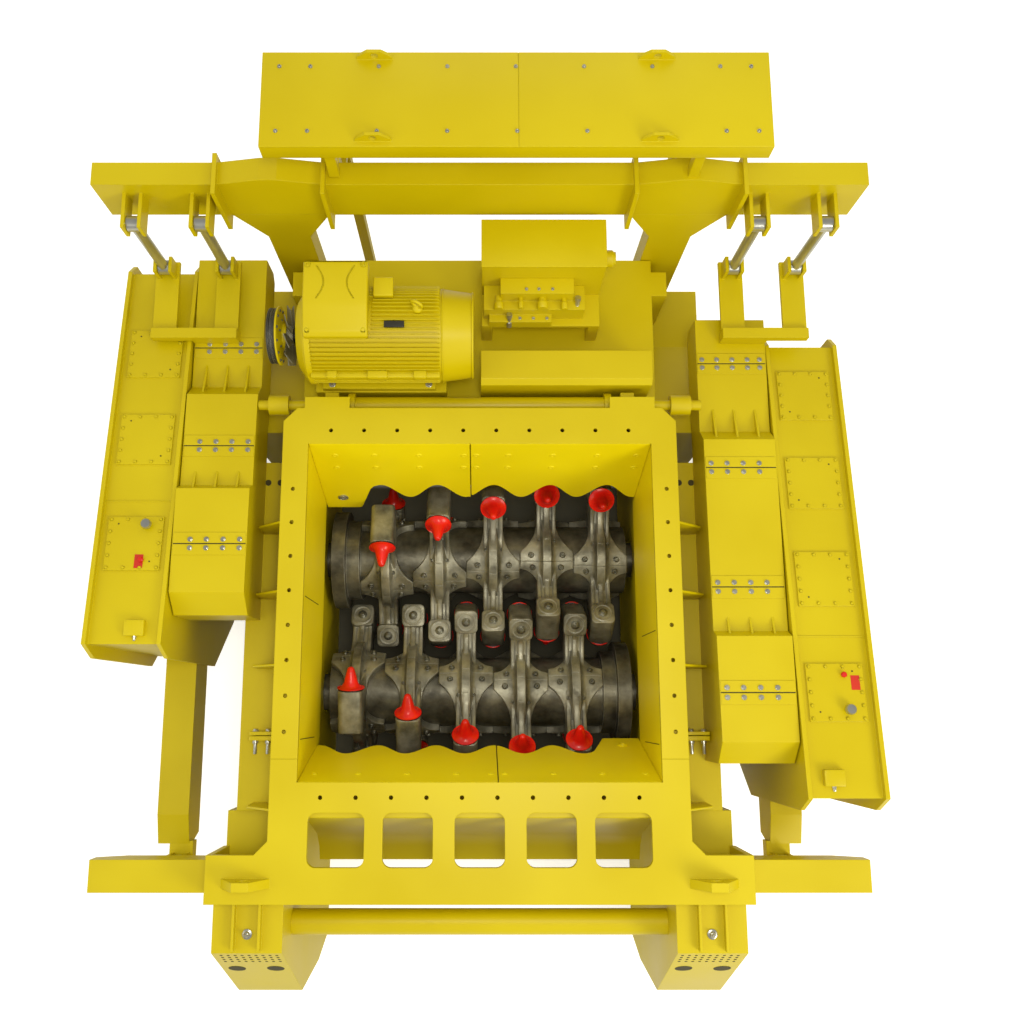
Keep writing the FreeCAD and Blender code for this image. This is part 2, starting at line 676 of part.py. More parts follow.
def gear_cases():
    """Gear casings with overhanging cheeks and bolted inspection covers on their tops."""
    plans = (("left", -1, S.left_case_front, S.left_case_rear, (1960, 1260, 460)),
             ("right", 1, S.right_case_front, S.right_case_rear, (1640, 940, 215, -590)))
    for name, side, front, rear, covers in plans:
        low, high = span(side, S.case_in, S.case_out)
        fall = (S.case_front_top - S.case_rear_top) / (front + rear)
        body = prism(name + "_case_body", "x", [
            (-front, S.case_nose_low), (-front, S.case_front_top), (rear, S.case_rear_top),
            (rear, S.case_tail_low), (rear - S.case_tail, S.case_low),
            (-front + S.case_nose, S.case_low),
        ], low + S.cheek, high - S.cheek)
        pieces = [body]
        for x in (low, high - S.cheek):
            pieces.append(prism("case_cheek", "x", [
                (-front - S.cheek_out, S.case_nose_low + 200),
                (-front - S.cheek_out, S.case_front_top - 150),
                (-front, S.case_front_top + S.flange_lip),
                (rear, S.case_rear_top + S.flange_lip),
                (rear + S.cheek_out, S.case_rear_top - 60),
                (rear + S.cheek_out * 0.4, S.case_tail_low), (rear - S.case_tail, S.case_low),
                (-front + S.case_nose, S.case_low),
            ], x, x + S.cheek))
        middle = (low + high) / 2
        angle = math.degrees(math.atan(fall.value))
        for y in covers:
            level = S.case_front_top - fall * (y + front)
            cover = box(name + "_cover", (0, S.cover_wide), (0, S.cover_len), (0, S.cover_thick))
            cover.Placement = FreeCAD.Placement(Vector(), Rotation(Vector(1, 0, 0), -angle))
            put(cover, middle - S.cover_wide / 2, y - S.cover_len / 2,
                level + fall * S.cover_len / 2 - 2)
            pieces.append(cover)
        node(name + "_gear_case", fuse(name + "_case", *pieces))


def torque_arms():
    """Each gear casing is held by an arm, an upright strut and an outrigger at the front."""
    struts, riggers = [], []
    for name, side in SIDES:
        front = S.left_case_front if side < 0 else S.right_case_front
        low, high = span(side, S.arm_in, S.arm_out)
        arm_start = -front
        arm = prism(name + "_arm_box", "x", [
            (arm_start - S.seat_gap, S.arm_top), (arm_start - S.seat_gap, S.arm_top - S.arm_deep),
            (-S.arm_front - 160, S.arm_top - S.arm_deep), (-S.arm_front - 220, S.arm_top - 160),
            (-S.arm_front - 220, S.arm_top - 60), (-S.arm_front, S.arm_top),
        ], low, high)
        ears = []
        x = S.strut_place * side
        for ear in (-1, 1):
            place = x + (S.eye_thick / 2 + S.ear_thick / 2 + 5) * ear
            ears.append(box("arm_ear", (place - S.ear_thick / 2, place + S.ear_thick / 2),
                            (-S.outrigger_near - 170, -S.outrigger_near - 50),
                            (S.arm_top - 160, S.arm_top + 90)))
        base = box("arm_ear_base", (x - 90, x + 90), (-S.outrigger_near - 170, -S.arm_front - 200),
                   (S.arm_top - 160, S.arm_top - 60))
        node(name + "_torque_arm", fuse(name + "_arm", arm, base, *ears))
        rigger = prism(name + "_rigger_box", "y", [
            (S.wing_half * side, S.outrigger_top), (S.outrigger_end * side, S.outrigger_top),
            (S.outrigger_end * side, S.outrigger_top - S.outrigger_deep * 0.6),
            ((S.outrigger_end - 200) * side, S.outrigger_top - S.outrigger_deep),
            (S.wing_half * side, S.outrigger_top - S.outrigger_deep),
        ], -S.outrigger_far, -S.outrigger_near)
        hang = []
        top = S.outrigger_top - S.outrigger_deep
        for ear in (-1, 1):
            place = x + (S.eye_thick / 2 + S.ear_thick / 2 + 5) * ear
            hang.append(box("rigger_ear", (place - S.ear_thick / 2, place + S.ear_thick / 2),
                            (-S.outrigger_near - 170, -S.outrigger_near - 50),
                            (top - 150, top)))
        riggers.append(fuse(name + "_rigger", rigger, *hang))
        mid_y = -S.outrigger_near - 110
        rod = cylinder("strut_rod", "z", S.strut, S.arm_top + 40, top - 90, (x, mid_y))
        parts = [rod]
        for level in (S.arm_top + 20, top - 75):
            parts.append(cylinder("strut_eye", "x", S.strut_eye * 0.9, x - S.eye_thick / 2,
                                  x + S.eye_thick / 2, (mid_y, level)))
            parts.append(cylinder("strut_pin", "x", S.strut_pin, x - S.eye_thick / 2 - 5,
                                  x + S.eye_thick / 2 + 5, (mid_y, level)))
        struts.append(fuse(name + "_strut", *parts))
    bundle("front_struts", struts)
    bundle("outriggers", riggers)


def rear_frame():
    """Beam on two posts behind the drive, with saddles, struts and the cabinet on its stand."""
    beam = box("beam_box", (-S.beam_half, S.beam_half), (S.beam_near, S.beam_far),
               (S.beam_low, S.beam_top))
    pieces = [beam]
    top = S.beam_top
    for _, side in SIDES:
        mid = S.post_mid * side
        web = prism("saddle_web", "y", [
            (mid - S.saddle_half, top), (mid + S.saddle_half, top),
            (mid + 60, top + S.saddle_peak), (mid - 60, top + S.saddle_peak),
        ], S.beam_near, S.beam_far)
        pieces.append(web)
        for edge in (-1, 1):
            x = mid + S.saddle_half * edge
            pieces.append(box("saddle_plate", (x - S.saddle_thick / 2, x + S.saddle_thick / 2),
                              (S.beam_near - S.saddle_proud * 2, S.beam_far + S.saddle_proud),
                              (S.beam_low - S.saddle_proud, top + S.saddle_proud)))
        for place in (S.rear_strut_out, S.rear_strut_in):
            for ear in (-1, 1):
                x = place * side + (S.eye_thick / 2 + S.ear_thick / 2 + 5) * ear
                pieces.append(box("beam_ear", (x - S.ear_thick / 2, x + S.ear_thick / 2),
                                  (S.rear_strut_place - 60, S.beam_near),
                                  (S.rear_strut_top - 70, S.rear_strut_top + 70)))
    node("rear_beam", fuse("beam", *pieces))
    struts, brackets = [], []
    for name, side in SIDES:
        mid = S.post_mid * side
        post = prism(name + "_post_plate", "y", [
            (mid - S.post_half, 0), (mid + S.post_half, 0), (mid + S.post_half, 2500),
            (mid + S.saddle_half - 20, S.beam_low), (mid - S.saddle_half + 20, S.beam_low),
            (mid - S.post_half, 2500),
        ], S.beam_near, S.beam_far)
        node(name + "_post", post)
        rear = S.left_case_rear if side < 0 else S.right_case_rear
        bracket = []
        for place in (S.rear_strut_out, S.rear_strut_in):
            x = place * side
            level_low, level_top = S.rear_strut_low, S.rear_strut_top
            rod = cylinder("rear_rod", "z", S.strut, level_low, level_top,
                           (x, S.rear_strut_place))
            bits = [rod]
            for level in (level_low, level_top):
                bits.append(cylinder("rear_eye", "x", S.strut_eye * 0.9, x - S.eye_thick / 2,
                                     x + S.eye_thick / 2, (S.rear_strut_place, level)))
                bits.append(cylinder("rear_pin", "x", S.strut_pin, x - S.eye_thick / 2 - 5,
                                     x + S.eye_thick / 2 + 5, (S.rear_strut_place, level)))
            struts.append(fuse("rear_strut", *bits))
            for ear in (-1, 1):
                at = x + (S.eye_thick / 2 + S.ear_thick / 2 + 5) * ear
                bracket.append(box("bracket_ear", (at - S.ear_thick / 2, at + S.ear_thick / 2),
                                   (S.rear_strut_place - 60, S.rear_strut_place + 60),
                                   (S.rear_strut_low - 90, S.rear_strut_low + 60)))
            bracket.append(box("bracket_arm", (x - 90, x + 90), (2050, S.rear_strut_place + 80),
                               (S.rear_strut_low - 110, S.rear_strut_low - 80)))
        low, high = span(side, S.rear_strut_in - 90, S.rear_strut_out + 90)
        bracket.append(box("bracket_bar", (low, high), (2050, 2130),
                           (S.rear_strut_low - 110, S.rear_strut_low - 40)))
        low, high = span(side, S.rear_strut_in - 90, S.guard_out)
        bracket.append(box("bracket_seat", (low, high), (2050, 2130),
                           (S.guard_rear_top, S.rear_strut_low - 110)))
        brackets.append(fuse(name + "_bracket", *bracket))
    bundle("rear_struts", struts)
    bundle("strut_brackets", brackets)
    low_x, high_x = S.cabinet_mid - S.cabinet_half, S.cabinet_mid + S.cabinet_half
    shell = box("cabinet_box", (low_x, high_x), (S.cabinet_near, S.cabinet_far),
                (S.cabinet_low, S.cabinet_top))
    bits = [shell]
    for x in (-900, 900):
        for y in (S.cabinet_near + 25, S.cabinet_far - 45):
            at = S.cabinet_mid + x
            ear = prism("cabinet_lug", "y", [
                (at - 110, S.cabinet_top), (at + 110, S.cabinet_top),
                (at + 40, S.cabinet_top + 80), (at - 40, S.cabinet_top + 80),
            ], y, y + 20)
            bits.append(ear)
    node("cabinet", fuse("cabinet_body", *bits))
    frame = []
    leg_y = (S.cabinet_far - S.stand_post - 40, S.cabinet_far - 40)
    left_x = low_x + S.stand_inset
    right_x = high_x - S.stand_inset - S.stand_post
    for x in (left_x, right_x):
        frame.append(box("stand_leg", (x, x + S.stand_post), leg_y, (0, S.cabinet_low)))
        frame.append(box("stand_rail", (x, x + S.stand_post), (S.beam_far, leg_y[0]),
                         (S.cabinet_low - S.stand_post, S.cabinet_low)))
        frame.append(box("stand_sill", (x, x + S.stand_post), (S.beam_far, leg_y[0]),
                         (S.beam_low + 20, S.beam_low + 20 + S.stand_post)))
        frame.append(box("stand_stub", (x, x + S.stand_post),
                         (S.beam_far, S.beam_far + S.stand_post),
                         (S.beam_low + 20 + S.stand_post, S.cabinet_low - S.stand_post)))
    tie_y = (leg_y[0] + S.tie_inset, leg_y[1] - S.tie_inset)
    for level in (S.stand_tie_low, S.cabinet_low - S.stand_post - S.tie_inset):
        frame.append(box("stand_tie", (left_x + S.stand_post, right_x), tie_y,
                         (level, level + S.stand_post - S.tie_inset)))
    node("cabinet_stand", fuse("stand", *frame))


def drive():
    """Motor and hydraulic unit on the platform, the coupling and the synchronising shaft."""
    platform = box("platform_plate", (-S.foot_in, S.foot_in), (WALL_Y_OUT, S.beam_near - 5),
                   (S.platform_top - S.platform, S.platform_top))
    legs = []
    for _, side in SIDES:
        low, high = span(side, S.foot_in - 60, S.foot_in + 120)
        legs.append(box("platform_leg", (low, high), (S.rear_foot_end - 300,
                                                      S.rear_foot_end - 100),
                        (S.rear_foot_top, S.platform_top)))
    node("drive_platform", fuse("platform_body", platform, *legs))
    y, z = S.motor_place, S.motor_high
    seat = z - S.motor_foot
    low, high = -S.motor_left, -S.motor_right
    barrel = cylinder("motor_barrel", "x", S.motor, low + 60, high - S.cowl_len, (y, z))
    cowl = cone("motor_cowl", "x", S.motor, S.fan_cowl, high - S.cowl_len, high, (y, z))
    nose = cone("motor_nose", "x", S.motor * 0.75, S.motor, low, low + 60, (y, z))
    shaft = cylinder("motor_shaft", "x", S.motor_shaft, low - 25, low, (y, z))
    foot = box("motor_foot", (low + 120, high - 280), (y - S.foot_wide, y + S.foot_wide),
               (seat, seat + 60))
    neck = box("motor_neck", (low + 120, high - 280), (y - 200, y + 200), (seat, z - 200))
    node("motor", fuse("motor_body", barrel, cowl, nose, shaft, foot, neck))
    node("motor_terminal_box", box("terminal_box", (-S.box_left, -S.box_right),
                                   (S.box_near, S.box_far), (z + S.motor, S.box_top)))
    node("motor_base", fuse(
        "motor_base_body",
        box("base_top", (low + 60, high - 200), (y - S.base_wide, y + S.base_wide), (seat - S.base_plate, seat)),
        box("base_rail_1", (low + 60, high - 200), (y - S.base_wide, y - S.base_wide + 80),
            (S.platform_top, seat - S.base_plate)),
        box("base_rail_2", (low + 60, high - 200), (y + S.base_wide - 80, y + S.base_wide),
            (S.platform_top, seat - S.base_plate))))
    start = -S.coupling_end
    end = low - 25 - S.seat_gap
    ring = cylinder("coupling_ring", "x", S.ring, end - 60, end - 60 + S.ring_len, (y, z))
    core = cylinder("coupling_core", "x", S.motor_shaft * 1.6, start, end, (y, z))
    pulley = cylinder("coupling_pulley", "x", S.pulley, start, start + 80, (y, z))
    blades = []
    for place in range(8):
        blade = box("fan_blade", (0, 55), (-8, 8), (S.motor_shaft, S.fan))
        blade.Placement = FreeCAD.Placement(
            Vector((start + 95).value, (HOPPER_Y + y).value, z.value),
            Rotation(Vector(1, 0, 0), place * 45))
        blades.append(blade)
    for blade, place in zip(blades, range(8)):
        blade.setExpression("Placement.Base.x", (start + 95).formula)
        blade.setExpression("Placement.Base.y", None)
        blade.setExpression("Placement.Base.z", None)
        offset = blade.Placement.Rotation.multVec(Vector(0, -8, S.motor_shaft.value))
        blade.Placement.Base = Vector((start + 95).value, (HOPPER_Y + y).value + offset.y,
                                      z.value + offset.z)
    node("motor_coupling", fuse("coupling_body", ring, core, pulley, *blades))
    y, z = S.shaft_place, S.shaft_high
    parts = [cylinder("sync_tube", "x", S.shaft, -S.tube_len, S.tube_len, (y, z))]
    for _, side in SIDES:
        a, b = span(side, S.tube_len, S.guard_in - S.shaft_room)
        parts.append(cylinder("sync_stub", "x", S.shaft * 0.62, a, b, (y, z)))
        a, b = span(side, S.joint_half - S.joint_cross, S.joint_half + S.joint_cross)
        parts.append(cylinder("sync_yoke", "x", S.joint_cross, a, b, (y, z)))
        a, b = span(side, S.tube_len, S.tube_len + 50)
        parts.append(cylinder("sync_flange", "x", S.shaft * 1.45, a, b, (y, z)))
    node("sync_shaft", fuse("sync_body", *parts))
    carriers = []
    for _, side in SIDES:
        a, b = span(side, S.tube_len + 120, S.tube_len + 220)
        block = box("carrier_box", (a, b), (y - S.shaft_block / 2 + 5, y + S.shaft_block / 2),
                    (S.platform_top, z + S.shaft_block / 2))
        hole = cylinder("carrier_hole", "x", S.shaft * 0.62 + S.bearing_fit, a, b, (y, z))
        carriers.append(cut("carrier", block, hole))
    bundle("shaft_carriers", carriers)
    node("shaft_cover", prism("cover_body", "x", [
        (S.cover_near, S.platform_top), (S.cover_near, S.cover_top - 40),
        (S.cover_near + 40, S.cover_top), (S.cover_far, S.cover_top),
        (S.cover_far, S.platform_top),
    ], S.cover_left, S.cover_right))
    node("hydraulic_unit", box("unit_box", (S.unit_left, S.unit_right),
                               (S.unit_near, S.unit_far), (S.unit_low, S.unit_top)))
    node("valve_block", fuse(
        "valve_body",
        box("valve_base", (S.valve_left, S.valve_right), (S.valve_near + 60, S.unit_near),
            (S.unit_low, S.valve_top - 130)),
        box("valve_upper", (S.valve_left + 120, S.valve_right - 90),
            (S.valve_near + 130, S.unit_near), (S.valve_top - 130, S.valve_top)),
        box("valve_step", (S.valve_left + 40, S.valve_right - 240),
            (S.valve_near, S.valve_near + 60), (S.unit_low, S.valve_top - 220))))
    stand = []
    for x in (S.unit_left, S.unit_right - S.stand_post):
        for y in (S.valve_near, S.unit_far - S.stand_post):
            stand.append(box("unit_leg", (x, x + S.stand_post), (y, y + S.stand_post),
                             (S.platform_top, S.unit_low - 30)))
    stand.append(box("unit_shelf", (S.unit_left, S.unit_right), (S.valve_near, S.unit_far),
                     (S.unit_low - 30, S.unit_low)))
    node("unit_stand", fuse("unit_stand_body", *stand))


feed_flange()
front_deck()
side_walls()
end_walls()
liners()
feet()
bearings()
rolls()
belt_guards()
gear_cases()
torque_arms()
rear_frame()
drive()
doc.recompute()

faults = []
for item in doc.Objects:
    if "Invalid" in item.State or "Error" in item.State:
        faults.append(f"{item.Name} is {item.State}")
for item in NODES:
    if item.Shape.isNull() or not item.Shape.isValid():
        faults.append(f"{item.Label} has no valid shape")
if faults:
    raise RuntimeError("; ".join(faults))
for item in NODES:
    item.Shape.exportStep(f"parts/{item.Label}.step")
print(len(NODES), "nodes written")
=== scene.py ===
import json
import math

import bmesh
import bpy
from mathutils import Matrix, Vector


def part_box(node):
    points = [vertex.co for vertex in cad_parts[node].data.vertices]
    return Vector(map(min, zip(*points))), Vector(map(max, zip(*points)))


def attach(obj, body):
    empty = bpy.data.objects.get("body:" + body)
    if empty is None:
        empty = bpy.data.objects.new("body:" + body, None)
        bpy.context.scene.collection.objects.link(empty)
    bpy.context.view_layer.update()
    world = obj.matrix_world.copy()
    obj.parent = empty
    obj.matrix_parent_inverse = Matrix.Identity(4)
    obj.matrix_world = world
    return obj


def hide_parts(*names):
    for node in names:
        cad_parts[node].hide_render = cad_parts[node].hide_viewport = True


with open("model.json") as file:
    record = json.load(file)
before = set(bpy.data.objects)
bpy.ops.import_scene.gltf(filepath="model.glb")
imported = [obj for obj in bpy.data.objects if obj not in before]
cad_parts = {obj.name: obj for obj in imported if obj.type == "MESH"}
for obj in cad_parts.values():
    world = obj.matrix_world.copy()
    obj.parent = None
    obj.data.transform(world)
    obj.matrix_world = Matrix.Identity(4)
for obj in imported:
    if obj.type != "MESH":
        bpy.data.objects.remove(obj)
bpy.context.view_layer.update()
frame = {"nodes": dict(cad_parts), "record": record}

# Places along Y are counted from the middle of the feed opening, in metres.
FEED_Y = (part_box("front_wall")[0][1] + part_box("rear_wall")[1][1]) / 2
UP = Vector((0, 0, 1))
X_WAY, Y_WAY = (1, 0, 0), (0, 1, 0)


# Materials


def new_material(name):
    material = bpy.data.materials.new(name)
    material.use_nodes = True
    tree = material.node_tree
    return material, tree, tree.nodes["Principled BSDF"].inputs


def feed(tree, socket, value):
    """Give a socket a number, a colour or a link."""
    if isinstance(value, tuple):
        socket.default_value = (*value, 1)
    elif isinstance(value, (int, float)):
        socket.default_value = value
    else:
        tree.links.new(value, socket)


def add(tree, kind, inputs=None, **settings):
    """A new node with its inputs and settings."""
    item = tree.nodes.new("ShaderNode" + kind)
    for name, value in settings.items():
        setattr(item, name, value)
    for name, value in (inputs or {}).items():
        feed(tree, item.inputs[name], value)
    return item


def noise(tree, scale, detail, roughness):
    """Noise in object space, which is metres of the row frame."""
    place = add(tree, "TexCoord").outputs["Object"]
    return add(tree, "TexNoise", {"Scale": scale, "Detail": detail, "Roughness": roughness,
                                  "Vector": place}).outputs["Fac"]


def ramp(tree, source, stops):
    """Colours at their places along a source."""
    item = add(tree, "ValToRGB", {"Fac": source})
    ends = item.color_ramp.elements
    for place, (position, colour) in enumerate(stops):
        element = ends[place] if place < 2 else ends.new(position)
        element.position = position
        element.color = (*colour, 1)
    return item.outputs["Color"]


def linear(red, green, blue):
    """An sRGB colour from 0 to 255 as Blender's linear colour."""
    out = []
    for channel in (red, green, blue):
        c = channel / 255
        out.append(c / 12.92 if c <= 0.04045 else ((c + 0.055) / 1.055) ** 2.4)
    return tuple(out)


def grey(level):
    return (level, level, level)


def spread(tree, value, low, high):
    """From 0 where the value is low to 1 where it is high."""
    inputs = {"Value": value, "From Min": low, "From Max": high}
    return add(tree, "MapRange", inputs).outputs["Result"]


def calculate(tree, operation, *values):
    return add(tree, "Math", dict(enumerate(values)), operation=operation).outputs["Value"]


def edge_mask(tree, radius, low, high):
    """White where the surface turns sharply, and the bevelled normal that shows it."""
    bevelled = add(tree, "Bevel", {"Radius": radius}, samples=4).outputs["Normal"]
    flat = add(tree, "NewGeometry").outputs["Normal"]
    dot = add(tree, "VectorMath", {0: bevelled, 1: flat}, operation="DOT_PRODUCT")
    return spread(tree, dot.outputs["Value"], high, low), bevelled


def mix(tree, factor, a, b):
    """Colour b over colour a by factor."""
    item = add(tree, "Mix", data_type="RGBA")
    for socket, value in zip([s for s in item.inputs if s.type == "RGBA"], (a, b)):
        feed(tree, socket, value)
    feed(tree, item.inputs["Factor"], factor)
    return next(s for s in item.outputs if s.type == "RGBA")


def bump(tree, height, strength, distance):
    return add(tree, "Bump", {"Strength": strength, "Distance": distance, "Height": height})


# The third share here and the second tone below paint a paler yellow highlight on the paint's sharp
# edges.
DRIFT_SHARE, DUST_SHARE, EDGE_HIGHLIGHT_SHARE = 0.45, 0.07, 0.35
DUST_TONE, EDGE_HIGHLIGHT_TONE, BARE_TONE = linear(190, 178, 70), linear(232, 218, 30), linear(190, 188, 176)
PAINT_SHINE = 0.3


def paint(name, base, light, dark, rough=0.36):
    """Thick gloss paint: soft colour drift, orange peel, a painted highlight of paler yellow along
    sharp edges, and dust.
    """
    material, tree, shader = new_material(name)
    drift = noise(tree, 0.9, 3, 0.5)
    body = mix(tree, DRIFT_SHARE, base, ramp(tree, drift, [(0.34, dark), (0.66, light)]))
    dust = ramp(tree, noise(tree, 34, 6, 0.7), [(0.56, grey(0)), (0.78, grey(1))])
    dusty = mix(tree, calculate(tree, "MULTIPLY", dust, DUST_SHARE), body, DUST_TONE)
    edge, normal = edge_mask(tree, 0.008, 0.86, 0.985)
    # Sharp edges turn towards a paler yellow: a painted highlight.
    rubbed_and_highlit = mix(tree, calculate(tree, "MULTIPLY", edge, EDGE_HIGHLIGHT_SHARE), dusty, EDGE_HIGHLIGHT_TONE)
    feed(tree, shader["Base Color"], rubbed_and_highlit)
    sheen = ramp(tree, drift, [(0.3, grey(rough - 0.06)), (0.7, grey(rough + 0.1))])
    feed(tree, shader["Roughness"], sheen)
    feed(tree, shader["Specular IOR Level"], PAINT_SHINE)
    peel = bump(tree, noise(tree, 60, 2, 0.4), 0.10, 0.002)
    feed(tree, peel.inputs["Normal"], normal)
    feed(tree, shader["Normal"], peel.outputs["Normal"])
    return material


def worn_steel(name, base, light, dark, rough, metal=0.85):
    """Cast or forged steel: mottled scale, bright rubbed edges and a grainy skin."""
    material, tree, shader = new_material(name)
    tone = ramp(tree, noise(tree, 5, 5, 0.6), [(0.32, dark), (0.5, base), (0.7, light)])
    edge, normal = edge_mask(tree, 0.012, 0.80, 0.98)
    grain = noise(tree, 38, 6, 0.75)
    rubbed_and_highlit = mix(tree, calculate(tree, "MULTIPLY", edge, grain), tone, BARE_TONE)
    feed(tree, shader["Base Color"], rubbed_and_highlit)
    feed(tree, shader["Metallic"], metal)
    sheen = ramp(tree, grain, [(0.3, grey(rough - 0.1)), (0.7, grey(rough + 0.14))])
    feed(tree, shader["Roughness"], sheen)
    skin = bump(tree, grain, 0.35, 0.004)
    feed(tree, skin.inputs["Normal"], normal)
    feed(tree, shader["Normal"], skin.outputs["Normal"])
    return material


def plain_coat(name, base, rough, metal=0.0, grain_scale=80, strength=0.12, vary=0.12):
    """Rubber, plastic or plated steel with a little drift and a fine skin."""
    material, tree, shader = new_material(name)
    low = tuple(c * (1 - vary) for c in base)
    high = tuple(min(1, c * (1 + vary)) for c in base)
    tone = ramp(tree, noise(tree, 6, 3, 0.5), [(0.35, low), (0.65, high)])
    feed(tree, shader["Base Color"], tone)
    feed(tree, shader["Roughness"], rough)
    feed(tree, shader["Metallic"], metal)
    skin = bump(tree, noise(tree, grain_scale, 4, 0.6), strength, 0.002)
    feed(tree, shader["Normal"], skin.outputs["Normal"])
    return material


YELLOW = paint("yellow_paint", linear(198, 178, 0), linear(206, 187, 0), linear(186, 164, 0))
LINER = paint("yellow_liner", linear(232, 212, 0), linear(240, 221, 0), linear(214, 192, 0), 0.42)
STEEL = worn_steel("tooth_steel", linear(138, 134, 118), linear(174, 169, 150), linear(90, 86, 72),
                   0.4, 0.6)
HUB_STEEL = worn_steel("hub_steel", linear(102, 98, 84), linear(134, 129, 112), linear(64, 60, 50),
                       0.38, 0.6)
SCREW_STEEL = worn_steel("segment_screw_steel", linear(112, 110, 98), linear(150, 148, 134),
                         linear(70, 68, 58), 0.38)
FAN_STEEL = worn_steel("fan_steel", linear(120, 116, 96), linear(150, 146, 122), linear(84, 80, 60),
                       0.5, 0.3)
DARK = worn_steel("dark_steel", linear(40, 40, 38), linear(66, 66, 62), linear(20, 20, 20),
                  0.5, 0.6)
RED = plain_coat("red_cap_coat", linear(222, 26, 14), 0.3, 0.0, 40, 0.2, 0.18)
ZINC = plain_coat("zinc_plate", linear(196, 196, 188), 0.32, 0.9, 160, 0.1, 0.1)
RUBBER = plain_coat("black_rubber", linear(24, 24, 25), 0.5, 0.0, 220, 0.2, 0.2)
RED_DOT = plain_coat("red_button_coat", linear(205, 30, 18), 0.35)
RED_LABEL = plain_coat("bare_label_coat", linear(196, 44, 20), 0.4, 0.0, 60, 0.08, 0.08)
DARK_PLATE = plain_coat("bare_plate_coat", linear(44, 42, 36), 0.4, 0.0, 60, 0.08, 0.1)
# A dark tone for seams, holes and the motor's grille: painted shade in their gaps.
GAP_SHADE = plain_coat("seam_shadow", linear(62, 55, 6), 0.7, 0.0, 60, 0.1, 0.2)

SLOT_FINISH = {
    "yellow_paint": YELLOW, "yellow_liner": LINER, "forged_steel": HUB_STEEL,
    "cast_tooth_steel": STEEL, "red_cap": RED, "dark_steel": DARK, "zinc_steel": ZINC,
}
NODE_SLOT = {part["node"]: part["material_slot"] for part in frame["record"]["subparts"]}


def dress_frame():
    """Give every carried-over node its finish."""
    for name, item in frame["nodes"].items():
        item.data.materials.clear()
        item.data.materials.append(SLOT_FINISH[NODE_SLOT[name]])
        for face in item.data.polygons:
            face.material_index = 0


# Shapes

AXIS_FRAMES = {
    "x": Matrix(((0, 0, 1), (1, 0, 0), (0, 1, 0))).to_4x4(),
    "y": Matrix(((1, 0, 0), (0, 0, 1), (0, 1, 0))).to_4x4(),
    "z": Matrix.Identity(4),
}
SHARP_TURN = math.radians(25)
BEVEL_CURVE = 0.6


def at(x, y, z):
    """A place given with y counted from the middle of the feed opening."""
    return Vector((x, y + FEED_Y, z))


def stand(name, data):
    """A new object in the scene."""
    item = bpy.data.objects.new(name, data)
    bpy.context.collection.objects.link(item)
    return item


class Shape:
    """Gathers the faces of one piece, in metres of the row frame."""

    def __init__(self):
        self.mesh = bmesh.new()

    def skin(self, loops, joined=False):
        """Faces between loops of points; the end loops are closed, or else joined together."""
        rows = [[self.mesh.verts.new(point) for point in loop] for loop in loops]
        pairs = list(zip(rows, rows[1:]))
        corners = []
        if joined:
            pairs.append((rows[-1], rows[0]))
        else:
            corners = [rows[0][::-1], rows[-1]]
        for low, high in pairs:
            for step in range(len(low)):
                after = (step + 1) % len(low)
                corners.append((low[step], low[after], high[after], high[step]))
        return [self.mesh.faces.new(verts) for verts in corners]

    def turned(self, place, axis, profile, sides, turn=0.0):
        """A profile of (radius, height) points turned about axis, with place as its foot."""
        axis = Vector(axis).normalized()
        across = axis.orthogonal().normalized()
        along = axis.cross(across)
        rows = []
        for radius, height in profile:
            centre = Vector(place) + axis * height
            row = []
            for step in range(sides if radius else 1):
                angle = turn + math.tau * step / sides
                ray = across * math.cos(angle) + along * math.sin(angle)
                row.append(self.mesh.verts.new(centre + ray * radius))
            rows.append(row)
        for low, high in zip(rows, rows[1:]):
            for step in range(sides):
                after = (step + 1) % sides
                corners = [low[step % len(low)], low[after % len(low)],
                           high[after % len(high)], high[step % len(high)]]
                corners = list(dict.fromkeys(corners))
                if len(corners) > 2:
                    self.mesh.faces.new(corners)

    def prism(self, outline, low, high, axis, bevel, segments=2, place=None):
        """An outline drawn from low to high along axis, with softened edges.

        The outline's points are (y, z) for x, (x, z) for y and (x, y) for z.
        """
        place = place or AXIS_FRAMES[axis]
        faces = self.skin([[place @ Vector((a, b, level)) for a, b in outline]
                           for level in (high, low)])
        for face in faces:
            face.normal_update()
        edges = [edge for edge in {edge for face in faces for edge in face.edges}
                 if edge.calc_face_angle(0) > SHARP_TURN]
        bmesh.ops.bevel(self.mesh, geom=edges, offset=bevel, segments=segments,
                        profile=BEVEL_CURVE, affect="EDGES")

    def block(self, low, high, bevel, segments=2):
        """A block with softened edges between two corners."""
        outline = [(low[0], low[1]), (high[0], low[1]), (high[0], high[1]), (low[0], high[1])]
        self.prism(outline, low[2], high[2], "z", bevel, segments)

    def data(self, name):
        """The faces as mesh data, with their outsides outward."""
        bmesh.ops.recalc_face_normals(self.mesh, faces=self.mesh.faces[:])
        data = bpy.data.meshes.new(name)
        self.mesh.to_mesh(data)
        self.mesh.free()
        return data

    def piece(self, name, finish, body="root", smooth=35, slot=None):
        """Make the object: its finish and the body it rides on. The slot is not used."""
        data = self.data(name)
        data.materials.append(finish)
        item = stand(name, data)
        for face in data.polygons:
            face.use_smooth = True
        data.set_sharp_from_angle(angle=math.radians(smooth))
        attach(item, body)
        return item


def rounded(low, high, radius, steps=4):
    """The outline of a rectangle with round corners."""
    points = []
    left, right = low[0] + radius, high[0] - radius
    near, far = low[1] + radius, high[1] - radius
    for x, y, start in ((right, far, 0), (left, far, 90), (left, near, 180), (right, near, 270)):
        for step in range(steps + 1):
            angle = math.radians(start + 90 * step / steps)
            points.append((x + radius * math.cos(angle), y + radius * math.sin(angle)))
    return points


def disc(radius, high=0.0015):
    """The profile of a flat disc."""
    return [(0, 0), (radius, 0), (radius, high), (0, high)]


def scaled(profile, size):
    return [(radius * size, height * size) for radius, height in profile]


